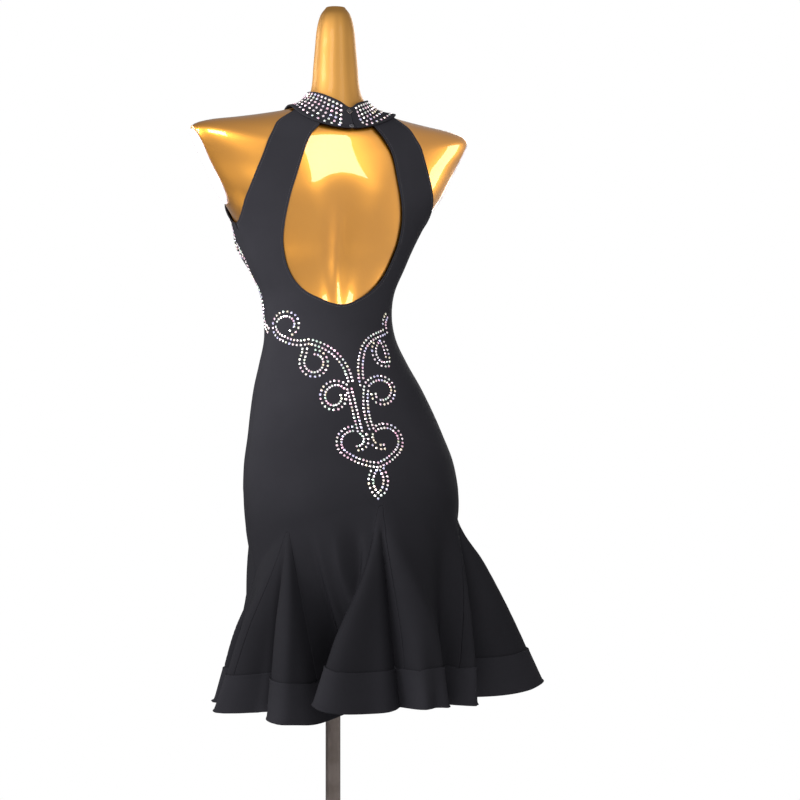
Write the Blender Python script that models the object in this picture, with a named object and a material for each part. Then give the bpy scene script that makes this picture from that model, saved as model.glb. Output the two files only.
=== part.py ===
"""Black halter dance dress on a gold dress form, with its pole stand.

The dress is one close body surface that opens below the hip into eight godets. Every cut piece
is a part of that surface, thickened outwards into a closed wall. Units are metres, +Z is up, the
dress faces -Y, and the origin is at the middle of the stand's underside.

Angles run round the figure in degrees: 0 is the centre back, 90 the left side (+X), 180 the
centre front and -90 the right side (-X).
"""

import math

import bmesh
import bpy
from mathutils import Matrix, Vector

# Cloth
WALL = 0.0016            # stretch crepe
CLEARANCE = 0.0020       # form to cloth
SEAM_GAP = 0.0003        # between neighbouring pieces
BAND_WALL = 0.0016       # stiffened hem band
BAND_HEIGHT = 0.058
COLLAR_WALL = 0.0022

# Levels of the dress: the surface's own height coordinate, near the height in metres
HIP_LEVEL = 0.845        # bodice above, skirt below
UNDERARM_LEVEL = 1.225
KEYHOLE_LEVEL = 1.112    # lowest point of the back opening
COLLAR_LEVELS = (1.3944, 1.4110, 1.4300)
COLLAR_SLIT_ANGLE = -8.0
COLLAR_SLIT = 0.6        # degrees
COLLAR_COLUMNS = 44
COLLAR_DIP = 0.005       # fall of the top edge at the closure
COLLAR_DIP_SPREAD = 14.0
COLLAR_TILT = 0.0045     # fall of the top edge at the back, twice this on the right
COLLAR_SIDE_FALL = 0.0065    # further fall of the top edge at both sides
COLLAR_FOOT_RISE = 0.0052    # how far the foot and the strap under it are drawn up on the left
STRAP_RISE_FROM = 1.370

SIDE_SEAM_ANGLE = 88.0

# Skirt
SKIRT_CENTRE = (-0.014, 0.028)
YOKE_ROWS = 2            # from the hip level down to the godets' points
FLARE_ROWS = 6           # from there to the hem band
HEM_STEP = 0.0145        # length of a facet along the hem
LEAST_STEPS = 4          # facets across a godet near its point
STEPS_POWER = 0.8        # how their number grows on the way down
HEM_SAMPLES = 240        # for measuring lengths along the hem
FLARE_BULGE = 0.006      # how far the flares stand out of straight
PLAIN_REACH = 7          # half rows of the hem, each way, that the plain hem is averaged over
NORMAL_STEP_ANGLE = 1.0
NORMAL_STEP_LEVEL = 0.002
HOLD_TO_MEAN = 0.03      # pull of a vertex's move towards its mean normal
LONGEST_MOVE = 1.8       # of a vertex on a crease, in wall thicknesses
SEAM_CREASE_POWER = 6    # how fast the seam gap grows with that move

# Stand
POLE_RADIUS = 0.0110
POLE_FIT = 0.0004
POLE_TOP = 0.745
FORM_BOTTOM = 0.690
BASE_RADIUS = 0.160
BASE_THICKNESS = 0.010
BASE_EDGE = 0.003
HUB_RADIUS = 0.020
HUB_HEIGHT = 0.045
HUB_FLOOR = 0.005
ROUND_SIDES = 40
POLE_SIDES = 20

# Form
FORM_COLUMNS = 44
SHOULDER_CUT_TOP = (0.2125, 1.360)      # x and z of two points of the flat arm cut
SHOULDER_CUT_FOOT = (0.1500, 1.240)
SHOULDER_CUT_FLOOR = 1.239
ARM_PLATE_THICKNESS = 0.0020
ARM_PLATE_MARGIN = 0.0015

BUTTON_RADIUS = 0.0042
BUTTON_THICKNESS = 0.0022
BUTTON_SIDES = 16
BUTTON_RIM = 0.3         # rounding of its edge, in thicknesses
BUTTON_ANGLE = -1.5
BUTTON_LEVELS = {"collar_button_upper": 1.4150, "collar_button_lower": 1.3988}

# Figure that the dress is cut for, a row for each section. Every section is tilted: it has its
# own height at the side, the back and the front. back_y and front_y are on the centre lines.
BODY_COLUMNS = ("level", "side_z", "back_z", "front_z", "shift_x", "half_width", "centre_y",
                "back_y", "front_y", "fullness")
BODY = (
    (0.6900, 0.6900, 0.6900, 0.6900, -0.015, 0.1400, 0.036, 0.128, -0.062, 0.020),
    (0.7400, 0.7400, 0.7400, 0.7400, -0.016, 0.1470, 0.037, 0.136, -0.064, 0.020),
    (0.7800, 0.7800, 0.7800, 0.7800, -0.016, 0.1545, 0.039, 0.141, -0.067, 0.020),
    (0.8240, 0.8240, 0.8240, 0.8240, -0.016, 0.1590, 0.039, 0.142, -0.068, 0.020),
    (0.8780, 0.8780, 0.8780, 0.8780, -0.014, 0.1550, 0.035, 0.129, -0.071, 0.020),
    (0.9200, 0.9200, 0.9200, 0.9200, -0.012, 0.1445, 0.026, 0.109, -0.076, 0.020),
    (0.9550, 0.9550, 0.9550, 0.9550, -0.010, 0.1350, 0.015, 0.092, -0.083, 0.020),
    (0.9910, 0.9910, 0.9910, 0.9910, -0.007, 0.1230, 0.004, 0.080, -0.090, 0.020),
    (1.0260, 1.0260, 1.0260, 1.0260, -0.004, 0.1085, -0.006, 0.066, -0.096, 0.020),
    (1.0620, 1.0620, 1.0620, 1.0620, -0.001, 0.0960, -0.012, 0.055, -0.098, 0.020),
    (1.0980, 1.0980, 1.0980, 1.0980, 0.001, 0.0935, -0.016, 0.046, -0.101, 0.022),
    (1.1340, 1.1340, 1.1340, 1.1340, 0.001, 0.0990, -0.018, 0.042, -0.106, 0.025),
    (1.1690, 1.1690, 1.1690, 1.1690, 0.001, 0.1145, -0.018, 0.045, -0.110, 0.030),
    (1.2050, 1.2050, 1.2050, 1.2050, 0.001, 0.1300, -0.016, 0.056, -0.112, 0.035),
    (1.2400, 1.2400, 1.2400, 1.2400, 0.000, 0.1475, -0.012, 0.065, -0.108, 0.030),
    (1.2750, 1.2800, 1.2680, 1.2680, 0.000, 0.1760, -0.009, 0.068, -0.099, 0.010),
    (1.3100, 1.3220, 1.2960, 1.2920, 0.000, 0.1990, -0.006, 0.069, -0.089, -0.040),
    (1.3350, 1.3520, 1.3180, 1.3120, 0.000, 0.2165, -0.004, 0.068, -0.081, -0.060),
    (1.3520, 1.3690, 1.3330, 1.3280, 0.000, 0.2145, -0.003, 0.067, -0.074, -0.060),
    (1.3660, 1.3780, 1.3450, 1.3410, 0.000, 0.1900, -0.002, 0.066, -0.068, -0.060),
    (1.3780, 1.3840, 1.3550, 1.3520, 0.000, 0.1500, 0.000, 0.065, -0.062, -0.030),
    (1.3900, 1.3910, 1.3630, 1.3600, 0.000, 0.1080, 0.003, 0.063, -0.056, 0.000),
    (1.4000, 1.4000, 1.3710, 1.3680, 0.000, 0.0660, 0.007, 0.060, -0.048, 0.000),
    (1.4120, 1.4110, 1.3860, 1.3840, 0.000, 0.0480, 0.010, 0.056, -0.038, 0.000),
    (1.4240, 1.4230, 1.4030, 1.4020, 0.000, 0.0385, 0.011, 0.051, -0.030, 0.000),
    (1.4400, 1.4410, 1.4240, 1.4240, 0.000, 0.0345, 0.011, 0.047, -0.025, 0.000),
    (1.4600, 1.4630, 1.4500, 1.4500, 0.000, 0.0330, 0.011, 0.044, -0.022, 0.000),
    (1.4900, 1.4900, 1.4840, 1.4840, 0.000, 0.0305, 0.011, 0.041, -0.020, 0.000),
    (1.5200, 1.5200, 1.5180, 1.5180, 0.000, 0.0275, 0.011, 0.038, -0.017, 0.000),
    (1.5400, 1.5400, 1.5395, 1.5395, 0.000, 0.0220, 0.011, 0.033, -0.011, 0.000),
    (1.5510, 1.5510, 1.5508, 1.5508, 0.000, 0.0140, 0.011, 0.025, -0.003, 0.000),
)

# Soft forms on the figure. The cloth bridges the hollows between them.
RELIEF_COLUMNS = ("angle", "level", "form_height", "cloth_height", "angle_spread", "level_spread")
RELIEF = (
    (142.0, 1.205, 0.022, 0.025, 21.0, 0.044),      # bust
    (-142.0, 1.205, 0.022, 0.025, 21.0, 0.044),
    (180.0, 1.205, 0.000, 0.012, 22.0, 0.045),
    (32.0, 0.835, 0.007, 0.007, 20.0, 0.050),       # seat
    (-32.0, 0.835, 0.007, 0.007, 20.0, 0.050),
    (0.0, 0.835, 0.000, 0.004, 18.0, 0.050),
    (0.0, 1.215, -0.006, 0.000, 11.0, 0.075),       # hollow of the back
    (124.0, 1.262, -0.003, 0.000, 22.0, 0.020),     # front of the armpits
    (-124.0, 1.262, -0.003, 0.000, 22.0, 0.020),
)

# The form draws in below the hip, clear of the hanging cloth.
FORM_TAPER_COLUMNS = ("level", "inset")
FORM_TAPER = ((0.690, 0.034), (0.705, 0.026), (0.740, 0.014), (0.780, 0.005), (0.825, 0.0015),
              (0.900, 0.0))
FORM_LEVELS = (0.690, 0.696, 0.712, 0.740, 0.780, 0.824, 0.865, 0.905, 0.940, 0.975, 1.010,
               1.045, 1.080, 1.115, 1.145, 1.172, 1.198, 1.220, 1.240, 1.256, 1.278, 1.302, 1.325,
               1.343, 1.357, 1.369, 1.380, 1.390, 1.400, 1.412, 1.425, 1.442, 1.465, 1.495,
               1.522, 1.538, 1.547, 1.551)
FORM_EDGE_INSET = 0.012  # rounding of the form's bottom edge

# Half widths of the back opening, and how far its middle lies to the left of the centre line
KEYHOLE_COLUMNS = ("level", "half_width", "middle")
KEYHOLE = ((1.1120, 0.0000, 0.0030), (1.1150, 0.0160, 0.0040), (1.1205, 0.0278, 0.0046),
           (1.1300, 0.0450, 0.0050), (1.1460, 0.0620, 0.0036), (1.1640, 0.0731, 0.0025),
           (1.1820, 0.0798, 0.0018), (1.2050, 0.0853, 0.0010), (1.2330, 0.0868, 0.0010),
           (1.2600, 0.0851, 0.0012), (1.2850, 0.0821, 0.0010), (1.3150, 0.0770, 0.0000),
           (1.3400, 0.0711, -0.0010), (1.3600, 0.0640, -0.0006), (1.3750, 0.0556, 0.0000),
           (1.3936, 0.0418, -0.0008))

# Distance of the armhole edges from the centre plane
ARMHOLE_COLUMNS = ("level", "back_x", "front_x")
ARMHOLE = ((1.2400, 0.1430, 0.1430), (1.2620, 0.1425, 0.1420), (1.2800, 0.1400, 0.1340),
           (1.3100, 0.1368, 0.1170), (1.3350, 0.1305, 0.1040), (1.3520, 0.1246, 0.0950),
           (1.3660, 0.1175, 0.0880), (1.3780, 0.1070, 0.0820), (1.3860, 0.0962, 0.0775),
           (1.3936, 0.0830, 0.0700))

BODICE_LEVELS = (0.845, 0.885, 0.920, 0.955, 0.990, 1.025, 1.060, 1.090, 1.112, 1.115, 1.1205,
                 1.130, 1.146, 1.164, 1.184, 1.205, 1.225, 1.240, 1.262, 1.286, 1.310, 1.330,
                 1.347, 1.360, 1.372, 1.383, 1.3936)

# Godets: the angle and level of each point, the columns of bodice cloth that follow it, and the
# distance below the point where the folds have their full shape
GODET_COLUMNS = ("name", "angle", "point_level", "cloth_columns", "folds_full")
GODETS = (
    ("godet_side_right", -88.0, 0.722, 5, 0.100),
    ("godet_back_right", -58.0, 0.808, 6, 0.080),
    ("godet_back_centre", 0.0, 0.8285, 8, 0.220),
    ("godet_back_left", 49.0, 0.793, 5, 0.150),
    ("godet_side_left", 88.0, 0.722, 5, 0.090),
    ("godet_front_left", 133.0, 0.800, 5, 0.240),
    ("godet_front_centre", 180.0, 0.812, 5, 0.220),
    ("godet_front_right", 227.0, 0.800, 5, 0.220),
)

# The hem, a row for each ridge and hollow, in order round the skirt from the right side.
# A cloth row lies between two godets. Angles and radii are about the skirt's centre.
HEM_COLUMNS = ("piece", "angle", "radius", "height")
HEM = (
    ("godet_side_right", -118.0, 0.222, 0.546),
    ("godet_side_right", -109.0, 0.182, 0.548),
    ("godet_side_right", -101.0, 0.245, 0.552),
    ("cloth", -93.0, 0.168, 0.550),
    ("cloth", -87.0, 0.215, 0.556),
    ("godet_back_right", -78.0, 0.302, 0.556),
    ("godet_back_right", -66.0, 0.266, 0.549),
    ("godet_back_right", -52.0, 0.234, 0.544),
    ("godet_back_right", -41.0, 0.150, 0.546),
    ("godet_back_right", -31.0, 0.246, 0.545),
    ("cloth", -21.0, 0.228, 0.546),
    ("cloth", -13.5, 0.180, 0.550),
    ("cloth", -7.0, 0.254, 0.551),
    ("godet_back_centre", 2.0, 0.240, 0.549),
    ("godet_back_centre", 11.0, 0.204, 0.545),
    ("godet_back_centre", 22.0, 0.246, 0.551),
    ("godet_back_centre", 34.0, 0.238, 0.563),
    ("cloth", 22.0, 0.180, 0.555),
    ("cloth", 4.0, 0.125, 0.546),
    ("cloth", 6.0, 0.092, 0.538),
    ("cloth", 26.0, 0.096, 0.531),
    ("cloth", 31.0, 0.145, 0.526),
    ("godet_back_left", 35.0, 0.184, 0.523),
    ("godet_back_left", 43.0, 0.196, 0.527),
    ("godet_back_left", 58.0, 0.204, 0.529),
    ("godet_back_left", 62.0, 0.126, 0.534),
    ("godet_back_left", 72.0, 0.176, 0.531),
    ("cloth", 87.0, 0.228, 0.529),
    ("cloth", 94.0, 0.142, 0.534),
    ("godet_side_left", 105.0, 0.212, 0.532),
    ("godet_side_left", 112.0, 0.160, 0.534),
    ("godet_side_left", 121.0, 0.212, 0.534),
    ("cloth", 130.0, 0.120, 0.538),
    ("godet_front_left", 139.0, 0.218, 0.536),
    ("godet_front_left", 148.0, 0.172, 0.538),
    ("godet_front_left", 157.0, 0.220, 0.538),
    ("cloth", 165.0, 0.118, 0.542),
    ("godet_front_centre", 172.0, 0.210, 0.540),
    ("godet_front_centre", 181.0, 0.168, 0.542),
    ("godet_front_centre", 190.0, 0.214, 0.540),
    ("cloth", 198.0, 0.118, 0.544),
    ("godet_front_right", 206.0, 0.220, 0.542),
    ("godet_front_right", 215.0, 0.172, 0.544),
    ("godet_front_right", 225.0, 0.226, 0.544),
    ("cloth", 234.0, 0.126, 0.548),
)

# Materials: colour, roughness, metallic
LOOKS = {
    "black_crepe": ((0.020, 0.020, 0.024), 0.62, 0.0),
    "gold_form": ((0.720, 0.430, 0.150), 0.28, 0.85),
    "pearl_plate": ((0.780, 0.740, 0.780), 0.25, 0.60),
    "steel": ((0.600, 0.570, 0.550), 0.25, 1.0),
    "black_button": ((0.015, 0.015, 0.018), 0.30, 0.0),
}


def column(columns, rows, name):
    """One named column of a table."""
    place = columns.index(name)
    return [row[place] for row in rows]


def smooth_value(stations, values, at):
    """Cubic curve through (station, value) pairs, held level beyond both ends."""
    if at <= stations[0]:
        return values[0]
    if at >= stations[-1]:
        return values[-1]
    last = len(stations) - 1
    low = max(n for n in range(last) if stations[n] <= at)

    def slope(n):
        before, after = max(n - 1, 0), min(n + 1, last)
        return (values[after] - values[before]) / (stations[after] - stations[before])

    span = stations[low + 1] - stations[low]
    t = (at - stations[low]) / span
    return ((2 * t ** 3 - 3 * t ** 2 + 1) * values[low]
            + (t ** 3 - 2 * t ** 2 + t) * span * slope(low)
            + (3 * t ** 2 - 2 * t ** 3) * values[low + 1]
            + (t ** 3 - t ** 2) * span * slope(low + 1))


def line_value(stations, values, at):
    """Straight lines through (station, value) pairs, held level beyond both ends."""
    for n in range(len(stations) - 1):
        if at <= stations[n + 1]:
            t = max(0.0, (at - stations[n]) / (stations[n + 1] - stations[n]))
            return values[n] + (values[n + 1] - values[n]) * t
    return values[-1]


BODY_BY_NAME = {name: column(BODY_COLUMNS, BODY, name) for name in BODY_COLUMNS}
SECTION_CACHE = {}


def section(level):
    """The figure's measures at one level."""
    if level not in SECTION_CACHE:
        levels = BODY_BY_NAME["level"]
        SECTION_CACHE[level] = {name: smooth_value(levels, BODY_BY_NAME[name], level)
                                for name in BODY_COLUMNS[1:]}
    return SECTION_CACHE[level]


def relief(level, angle, height_name):
    """Height of the soft forms at a place on the figure."""
    total = 0.0
    for row in RELIEF:
        at = dict(zip(RELIEF_COLUMNS, row))
        turn = (angle - at["angle"] + 180.0) % 360.0 - 180.0
        far = (turn / at["angle_spread"]) ** 2 + ((level - at["level"]) / at["level_spread"]) ** 2
        total += at[height_name] * math.exp(-far)
    return total


def figure_point(level, angle, height_name="cloth_height"):
    """A point on the figure, for the form or for the cloth's own smoother shape."""
    at = section(level)
    turn = math.radians(angle)
    side, along = math.sin(turn), math.cos(turn)
    full = 1.0 + at["fullness"] * (1.0 - math.cos(4.0 * turn)) / 2.0
    edge_y, edge_z = ((at["back_y"], at["back_z"]) if along > 0.0
                      else (at["front_y"], at["front_z"]))
    depth = abs(edge_y - at["centre_y"])
    out = Vector((at["half_width"] * side * full, depth * along * full, 0.0))
    raised = relief(level, angle, height_name)
    if height_name == "form_height":
        raised -= line_value(column(FORM_TAPER_COLUMNS, FORM_TAPER, "level"),
                             column(FORM_TAPER_COLUMNS, FORM_TAPER, "inset"), level)
    out += out.normalized() * raised
    height = edge_z + (at["side_z"] - edge_z) * side ** 2
    return Vector((at["shift_x"] + out.x, at["centre_y"] + out.y, height))


def figure_normal(level, angle):
    """Outward direction of the cloth's shape."""
    around = (figure_point(level, angle + NORMAL_STEP_ANGLE)
              - figure_point(level, angle - NORMAL_STEP_ANGLE))
    up = figure_point(level + NORMAL_STEP_LEVEL, angle) - figure_point(level - NORMAL_STEP_LEVEL,
                                                                       angle)
    return up.cross(around).normalized()


def cloth_point(level, angle):
    """A point on the inside of the cloth where it lies on the figure."""
    return figure_point(level, angle) + figure_normal(level, angle) * CLEARANCE


def angle_at_width(level, distance):
    """The angle, from the centre line, where a section is this far from the centre plane."""
    share = distance / section(level)["half_width"]
    return math.degrees(math.asin(min(share, math.sin(math.radians(SIDE_SEAM_ANGLE)))))


def keyhole_angle(level, sign):
    """Angle of the back opening's edge on the left, sign 1, or on the right, sign -1."""
    if level < KEYHOLE_LEVEL:
        return 0.0
    half_width, middle = (line_value(column(KEYHOLE_COLUMNS, KEYHOLE, "level"),
                                     column(KEYHOLE_COLUMNS, KEYHOLE, name), level)
                          for name in ("half_width", "middle"))
    return sign * angle_at_width(level, half_width + sign * middle)


def armhole_angle(level, side):
    """Angle of the armhole's edge, or of the side seam below it, from the centre back or the
    centre front."""
    if level <= UNDERARM_LEVEL:
        return SIDE_SEAM_ANGLE if side == "back_x" else 180.0 - SIDE_SEAM_ANGLE
    levels = column(ARMHOLE_COLUMNS, ARMHOLE, "level")
    return angle_at_width(level, line_value(levels, column(ARMHOLE_COLUMNS, ARMHOLE, side), level))


def foot_rise(angle):
    """How far the collar's foot is drawn up, in levels."""
    return COLLAR_FOOT_RISE * max(math.sin(math.radians(angle)), 0.0) ** 4


def bodice_point(level, angle):
    """A point of the bodice, whose straps are drawn up on the left towards the collar."""
    near = max((level - STRAP_RISE_FROM) / (BODICE_LEVELS[-1] - STRAP_RISE_FROM), 0.0)
    return cloth_point(level + foot_rise(angle) * near ** 2, angle)


class Sheet:
    """An open sheet of facets that all cut pieces share. Equal corners become one vertex."""

    def __init__(self):
        self.points = []
        self.numbers = {}
        self.faces = []
        self.pieces = []
        self.in_band = []

    def number(self, point):
        key = tuple(round(value, 6) for value in point)
        if key not in self.numbers:
            self.numbers[key] = len(self.points)
            self.points.append(Vector(point))
        return self.numbers[key]

    def add_grid(self, rows, piece, band_row=False):
        """Rows run upwards and their points to the right, seen from outside."""
        numbers = [[self.number(point) for point in row] for row in rows]
        for place, (low, high) in enumerate(zip(numbers, numbers[1:])):
            for a, b, c, d in zip(low, low[1:], high[1:], high):
                for ring in self.halves(a, b, c, d):
                    self.add_face(ring, piece, band_row and place == 0)

    def stitch(self, low, high, piece):
        """A strip of triangles between two rows of different counts, each evenly spaced."""
        low, high = ([self.number(point) for point in row] for row in (low, high))
        at, above = 0, 0
        while at < len(low) - 1 or above < len(high) - 1:
            next_low = (at + 1) / (len(low) - 1) if at < len(low) - 1 else math.inf
            next_high = (above + 1) / (len(high) - 1) if above < len(high) - 1 else math.inf
            if next_low <= next_high:
                self.add_face([low[at], low[at + 1], high[above]], piece)
                at += 1
            else:
                self.add_face([low[at], high[above + 1], high[above]], piece)
                above += 1

    def add_face(self, ring, piece, in_band=False):
        """One triangle, left out if two of its corners have met."""
        if len(set(ring)) == 3:
            self.faces.append(ring)
            self.pieces.append(piece)
            self.in_band.append(in_band)

    def halves(self, a, b, c, d):
        """A four-cornered facet as two triangles, split along its shorter diagonal, so that
        every wall made from the sheet is split alike."""
        if (self.points[a] - self.points[c]).length <= (self.points[b] - self.points[d]).length:
            return [a, b, c], [a, c, d]
        return [a, b, d], [b, c, d]

    def face_normal(self, face):
        """Newell's normal, its length twice the face's area."""
        normal = Vector((0.0, 0.0, 0.0))
        for a, b in zip(face, face[1:] + face[:1]):
            normal += self.points[a].cross(self.points[b])
        return normal

    def normals(self):
        """A normal for each vertex, over the whole sheet, so that seams stay closed. It is
        longer on a crease, which keeps the wall's thickness there."""
        around = [[] for _ in self.points]
        for face in self.faces:
            normal = self.face_normal(face).normalized()
            for place, number in enumerate(face):
                before = self.points[face[place - 1]] - self.points[number]
                after = self.points[face[(place + 1) % len(face)]] - self.points[number]
                around[number].append((normal, before.angle(after)))
        result = []
        for items in around:
            total = sum(weight for _, weight in items)
            mean = sum((normal * weight for normal, weight in items), Vector((0.0, 0.0, 0.0)))
            mean.normalize()
            # least squares for a move that lifts every face by one, held near the mean normal
            square = Matrix.Identity(3) * (HOLD_TO_MEAN * total)
            aim = mean * (HOLD_TO_MEAN * total)
            for normal, weight in items:
                square += Matrix([[a * b * weight for b in normal] for a in normal])
                aim += normal * weight
            move = square.inverted() @ aim
            if move.length > LONGEST_MOVE:
                move *= LONGEST_MOVE / move.length
            result.append(move)
        return result


def border_edges(faces):
    """Directed edges that only one of the faces has."""
    edges = {(a, b) for face in faces for a, b in zip(face, face[1:] + face[:1])}
    return [(a, b) for a, b in edges if (b, a) not in edges]


def drawn_in(sheet, moves, faces, seam_vertices):
    """Where each vertex of a piece moves to, so that half the seam gap opens beside it, and
    more where the seam lies on a crease."""
    owner = {}
    for face in faces:
        for a, b in zip(face, face[1:] + face[:1]):
            owner[(a, b)] = face
    inward = {}
    for a, b in border_edges(faces):
        if a in seam_vertices and b in seam_vertices:
            along = (sheet.points[b] - sheet.points[a]).normalized()
            across = sheet.face_normal(owner[(a, b)]).normalized().cross(along)
            inward.setdefault(a, []).append(across)
            inward.setdefault(b, []).append(across)
    moved = {}
    for number, directions in inward.items():
        mean = sum(directions, Vector((0.0, 0.0, 0.0))).normalized()
        reach = max(mean.dot(directions[0]), 0.1)
        crease = max(1.0, moves[number].length) ** SEAM_CREASE_POWER
        moved[number] = sheet.points[number] + mean * (SEAM_GAP / 2.0 / reach * crease)
    return moved


def wall_piece(name, sheet, normals, faces, look, rise, wall):
    """A closed wall on some of the sheet's faces, from rise to rise + wall above the sheet."""
    chosen = {number for face in faces for number in face}
    others = {number for face in sheet.faces if face not in faces for number in face}
    moved = drawn_in(sheet, normals, faces, chosen & others)
    order = {number: place for place, number in enumerate(sorted(chosen))}
    inner, outer = [], []
    for number in sorted(chosen):
        point = moved.get(number, sheet.points[number])
        inner.append(point + normals[number] * rise)
        outer.append(point + normals[number] * (rise + wall))
    count = len(order)
    solid_faces = []
    for face in faces:
        ring = [order[number] for number in face]
        solid_faces.append([place + count for place in ring])
        solid_faces.append(ring[::-1])
    for a, b in border_edges(faces):
        low, high = order[a], order[b]
        solid_faces.append([high, low, low + count, high + count][::-1])
    return solid(name, inner + outer, solid_faces, look)


def material(look):
    """The Principled material of one look."""
    if look in bpy.data.materials:
        return bpy.data.materials[look]
    made = bpy.data.materials.new(look)
    made.use_nodes = True
    colour, roughness, metallic = LOOKS[look]
    shader = made.node_tree.nodes["Principled BSDF"]
    shader.inputs["Base Color"].default_value = (*colour, 1.0)
    shader.inputs["Roughness"].default_value = roughness
    shader.inputs["Metallic"].default_value = metallic
    return made


def solid(name, points, faces, look, sharp_degrees=50.0):
    """An object from points and faces, shaded smooth between its sharp edges."""
    mesh = bpy.data.meshes.new(name)
    mesh.from_pydata([tuple(point) for point in points], [], faces)
    mesh.validate()
    mesh.shade_smooth()
    mesh.set_sharp_from_angle(angle=math.radians(sharp_degrees))
    mesh.materials.append(material(look))
    made = bpy.data.objects.new(name, mesh)
    bpy.context.scene.collection.objects.link(made)
    return made


def turned(name, profile, sides, look):
    """A solid turned about +Z from (radius, height) points, listed from the bottom's middle,
    up the outside and back to the axis."""
    points, faces, rings = [], [], []
    for radius, height in profile:
        if radius == 0.0:
            rings.append([len(points)] * sides)
            points.append(Vector((0.0, 0.0, height)))
            continue
        rings.append(list(range(len(points), len(points) + sides)))
        for n in range(sides):
            turn = math.tau * n / sides
            points.append(Vector((radius * math.cos(turn), radius * math.sin(turn), height)))
    for low, high in zip(rings, rings[1:]):
        for n in range(sides):
            after = (n + 1) % sides
            ring = []
            for corner in (low[n], low[after], high[after], high[n]):
                if corner not in ring:
                    ring.append(corner)
            faces.append(ring)
    return solid(name, points, faces, look)


def hip_angles(start, end):
    """Angles of the columns at the hip between two godets of the same cut piece, in order."""
    angles = column(GODET_COLUMNS, GODETS, "angle")
    counts = column(GODET_COLUMNS, GODETS, "cloth_columns")
    at_hip = [angles[start]]
    for place in range(start, end):
        step = (angles[place + 1] - angles[place]) / counts[place]
        at_hip += [angles[place] + step * (n + 1) for n in range(counts[place])]
    return at_hip


def remapped(values, low, high):
    """Values spread over a new range, keeping their proportions."""
    first, last = values[0], values[-1]
    return [low + (high - low) * (value - first) / (last - first) for value in values]


def add_back(sheet):
    """Both halves of the back, which meet on the centre line below the opening."""
    names = column(GODET_COLUMNS, GODETS, "name")
    side_right, centre, side_left = (names.index(name) for name in
                                     ("godet_side_right", "godet_back_centre", "godet_side_left"))
    right_hip = hip_angles(side_right, centre)
    left_hip = hip_angles(centre, side_left)
    for hip, sign in ((right_hip, -1.0), (left_hip, 1.0)):
        rows = []
        for level in BODICE_LEVELS:
            inner = keyhole_angle(level, sign)
            outer = sign * armhole_angle(level, "back_x")
            low, high = (outer, inner) if sign < 0.0 else (inner, outer)
            angles = remapped(hip, low, high)
            rows.append([bodice_point(level, angle) for angle in reversed(angles)])
        sheet.add_grid(rows, "back_panel")


def add_front(sheet):
    """The front, in one piece from side seam to side seam."""
    names = column(GODET_COLUMNS, GODETS, "name")
    start = names.index("godet_side_left")
    hip = hip_angles(start, len(GODETS) - 1)
    last_count = column(GODET_COLUMNS, GODETS, "cloth_columns")[-1]
    end_angle = 360.0 - SIDE_SEAM_ANGLE
    hip += [hip[-1] + (end_angle - hip[-1]) * (n + 1) / last_count for n in range(last_count)]
    rows = []
    for level in BODICE_LEVELS:
        reach = armhole_angle(level, "front_x")
        angles = remapped(hip, 180.0 - reach, 180.0 + reach)
        rows.append([bodice_point(level, angle) for angle in reversed(angles)])
    sheet.add_grid(rows, "front_panel")


def hem_point(row):
    """A row of the hem table as a place."""
    at = dict(zip(HEM_COLUMNS, row))
    turn = math.radians(at["angle"])
    return Vector((SKIRT_CENTRE[0] + at["radius"] * math.sin(turn),
                   SKIRT_CENTRE[1] + at["radius"] * math.cos(turn), at["height"]))


HEM_POINTS = [hem_point(row) for row in HEM]


def hem_curve(at):
    """The closed hem at a place counted in rows, a cubic B-spline that the rows draw outwards."""
    count = len(HEM_POINTS)
    start = math.floor(at)
    t = at - start
    a, b, c, d = (HEM_POINTS[(start + n) % count] for n in (-1, 0, 1, 2))
    return (a * (1.0 - t) ** 3 + b * (3.0 * t ** 3 - 6.0 * t ** 2 + 4.0)
            + c * (3.0 * t ** 2 - 3.0 * t ** 3 + 3.0 * t + 1.0) + d * t ** 3) / 6.0


def plain_hem(at):
    """The hem without its folds, a smooth ring that the cloth heads for near the points."""
    steps = range(-PLAIN_REACH, PLAIN_REACH + 1)
    return sum((hem_curve(at + n / 2.0) for n in steps), Vector((0.0, 0.0, 0.0))) / len(steps)


def hem_places(first, last, steps=0):
    """Places at even lengths along the hem, from half a row before to half a row after."""
    start, end = first - 0.5, last + 0.5
    places = [start + (end - start) * n / HEM_SAMPLES for n in range(HEM_SAMPLES + 1)]
    trail = [hem_curve(place) for place in places]
    lengths = [0.0]
    for a, b in zip(trail, trail[1:]):
        lengths.append(lengths[-1] + (b - a).length)
    steps = steps or max(LEAST_STEPS, round(lengths[-1] / HEM_STEP))
    return [line_value(lengths, places, lengths[-1] * n / steps) for n in range(steps + 1)]


def flare_point(top, place, row, folds_full):
    """A point on the way from a place on the hip down to the hem. Folds deepen on the way."""
    foot = hem_curve(place)
    if row > FLARE_ROWS:
        return foot
    down = band_share(top, foot) * row / FLARE_ROWS
    t = min(1.0, down * (foot - top).length / folds_full)
    out = Vector((foot.x - SKIRT_CENTRE[0], foot.y - SKIRT_CENTRE[1], 0.0)).normalized()
    bulge = FLARE_BULGE * math.sin(math.pi * row / (FLARE_ROWS + 1))
    return top.lerp(plain_hem(place).lerp(foot, t * t * (3.0 - 2.0 * t)), down) + out * bulge


def row_groups():
    """Runs of neighbouring hem rows of the same piece, as (piece, first row, last row)."""
    groups = []
    for place, row in enumerate(HEM):
        if groups and groups[-1][0] == row[0]:
            groups[-1][2] = place
        else:
            groups.append([row[0], place, place])
    return groups


def band_share(top, foot):
    """How far down a straight line the hem band's top edge lies."""
    return 1.0 - BAND_HEIGHT / (foot - top).length


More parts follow.
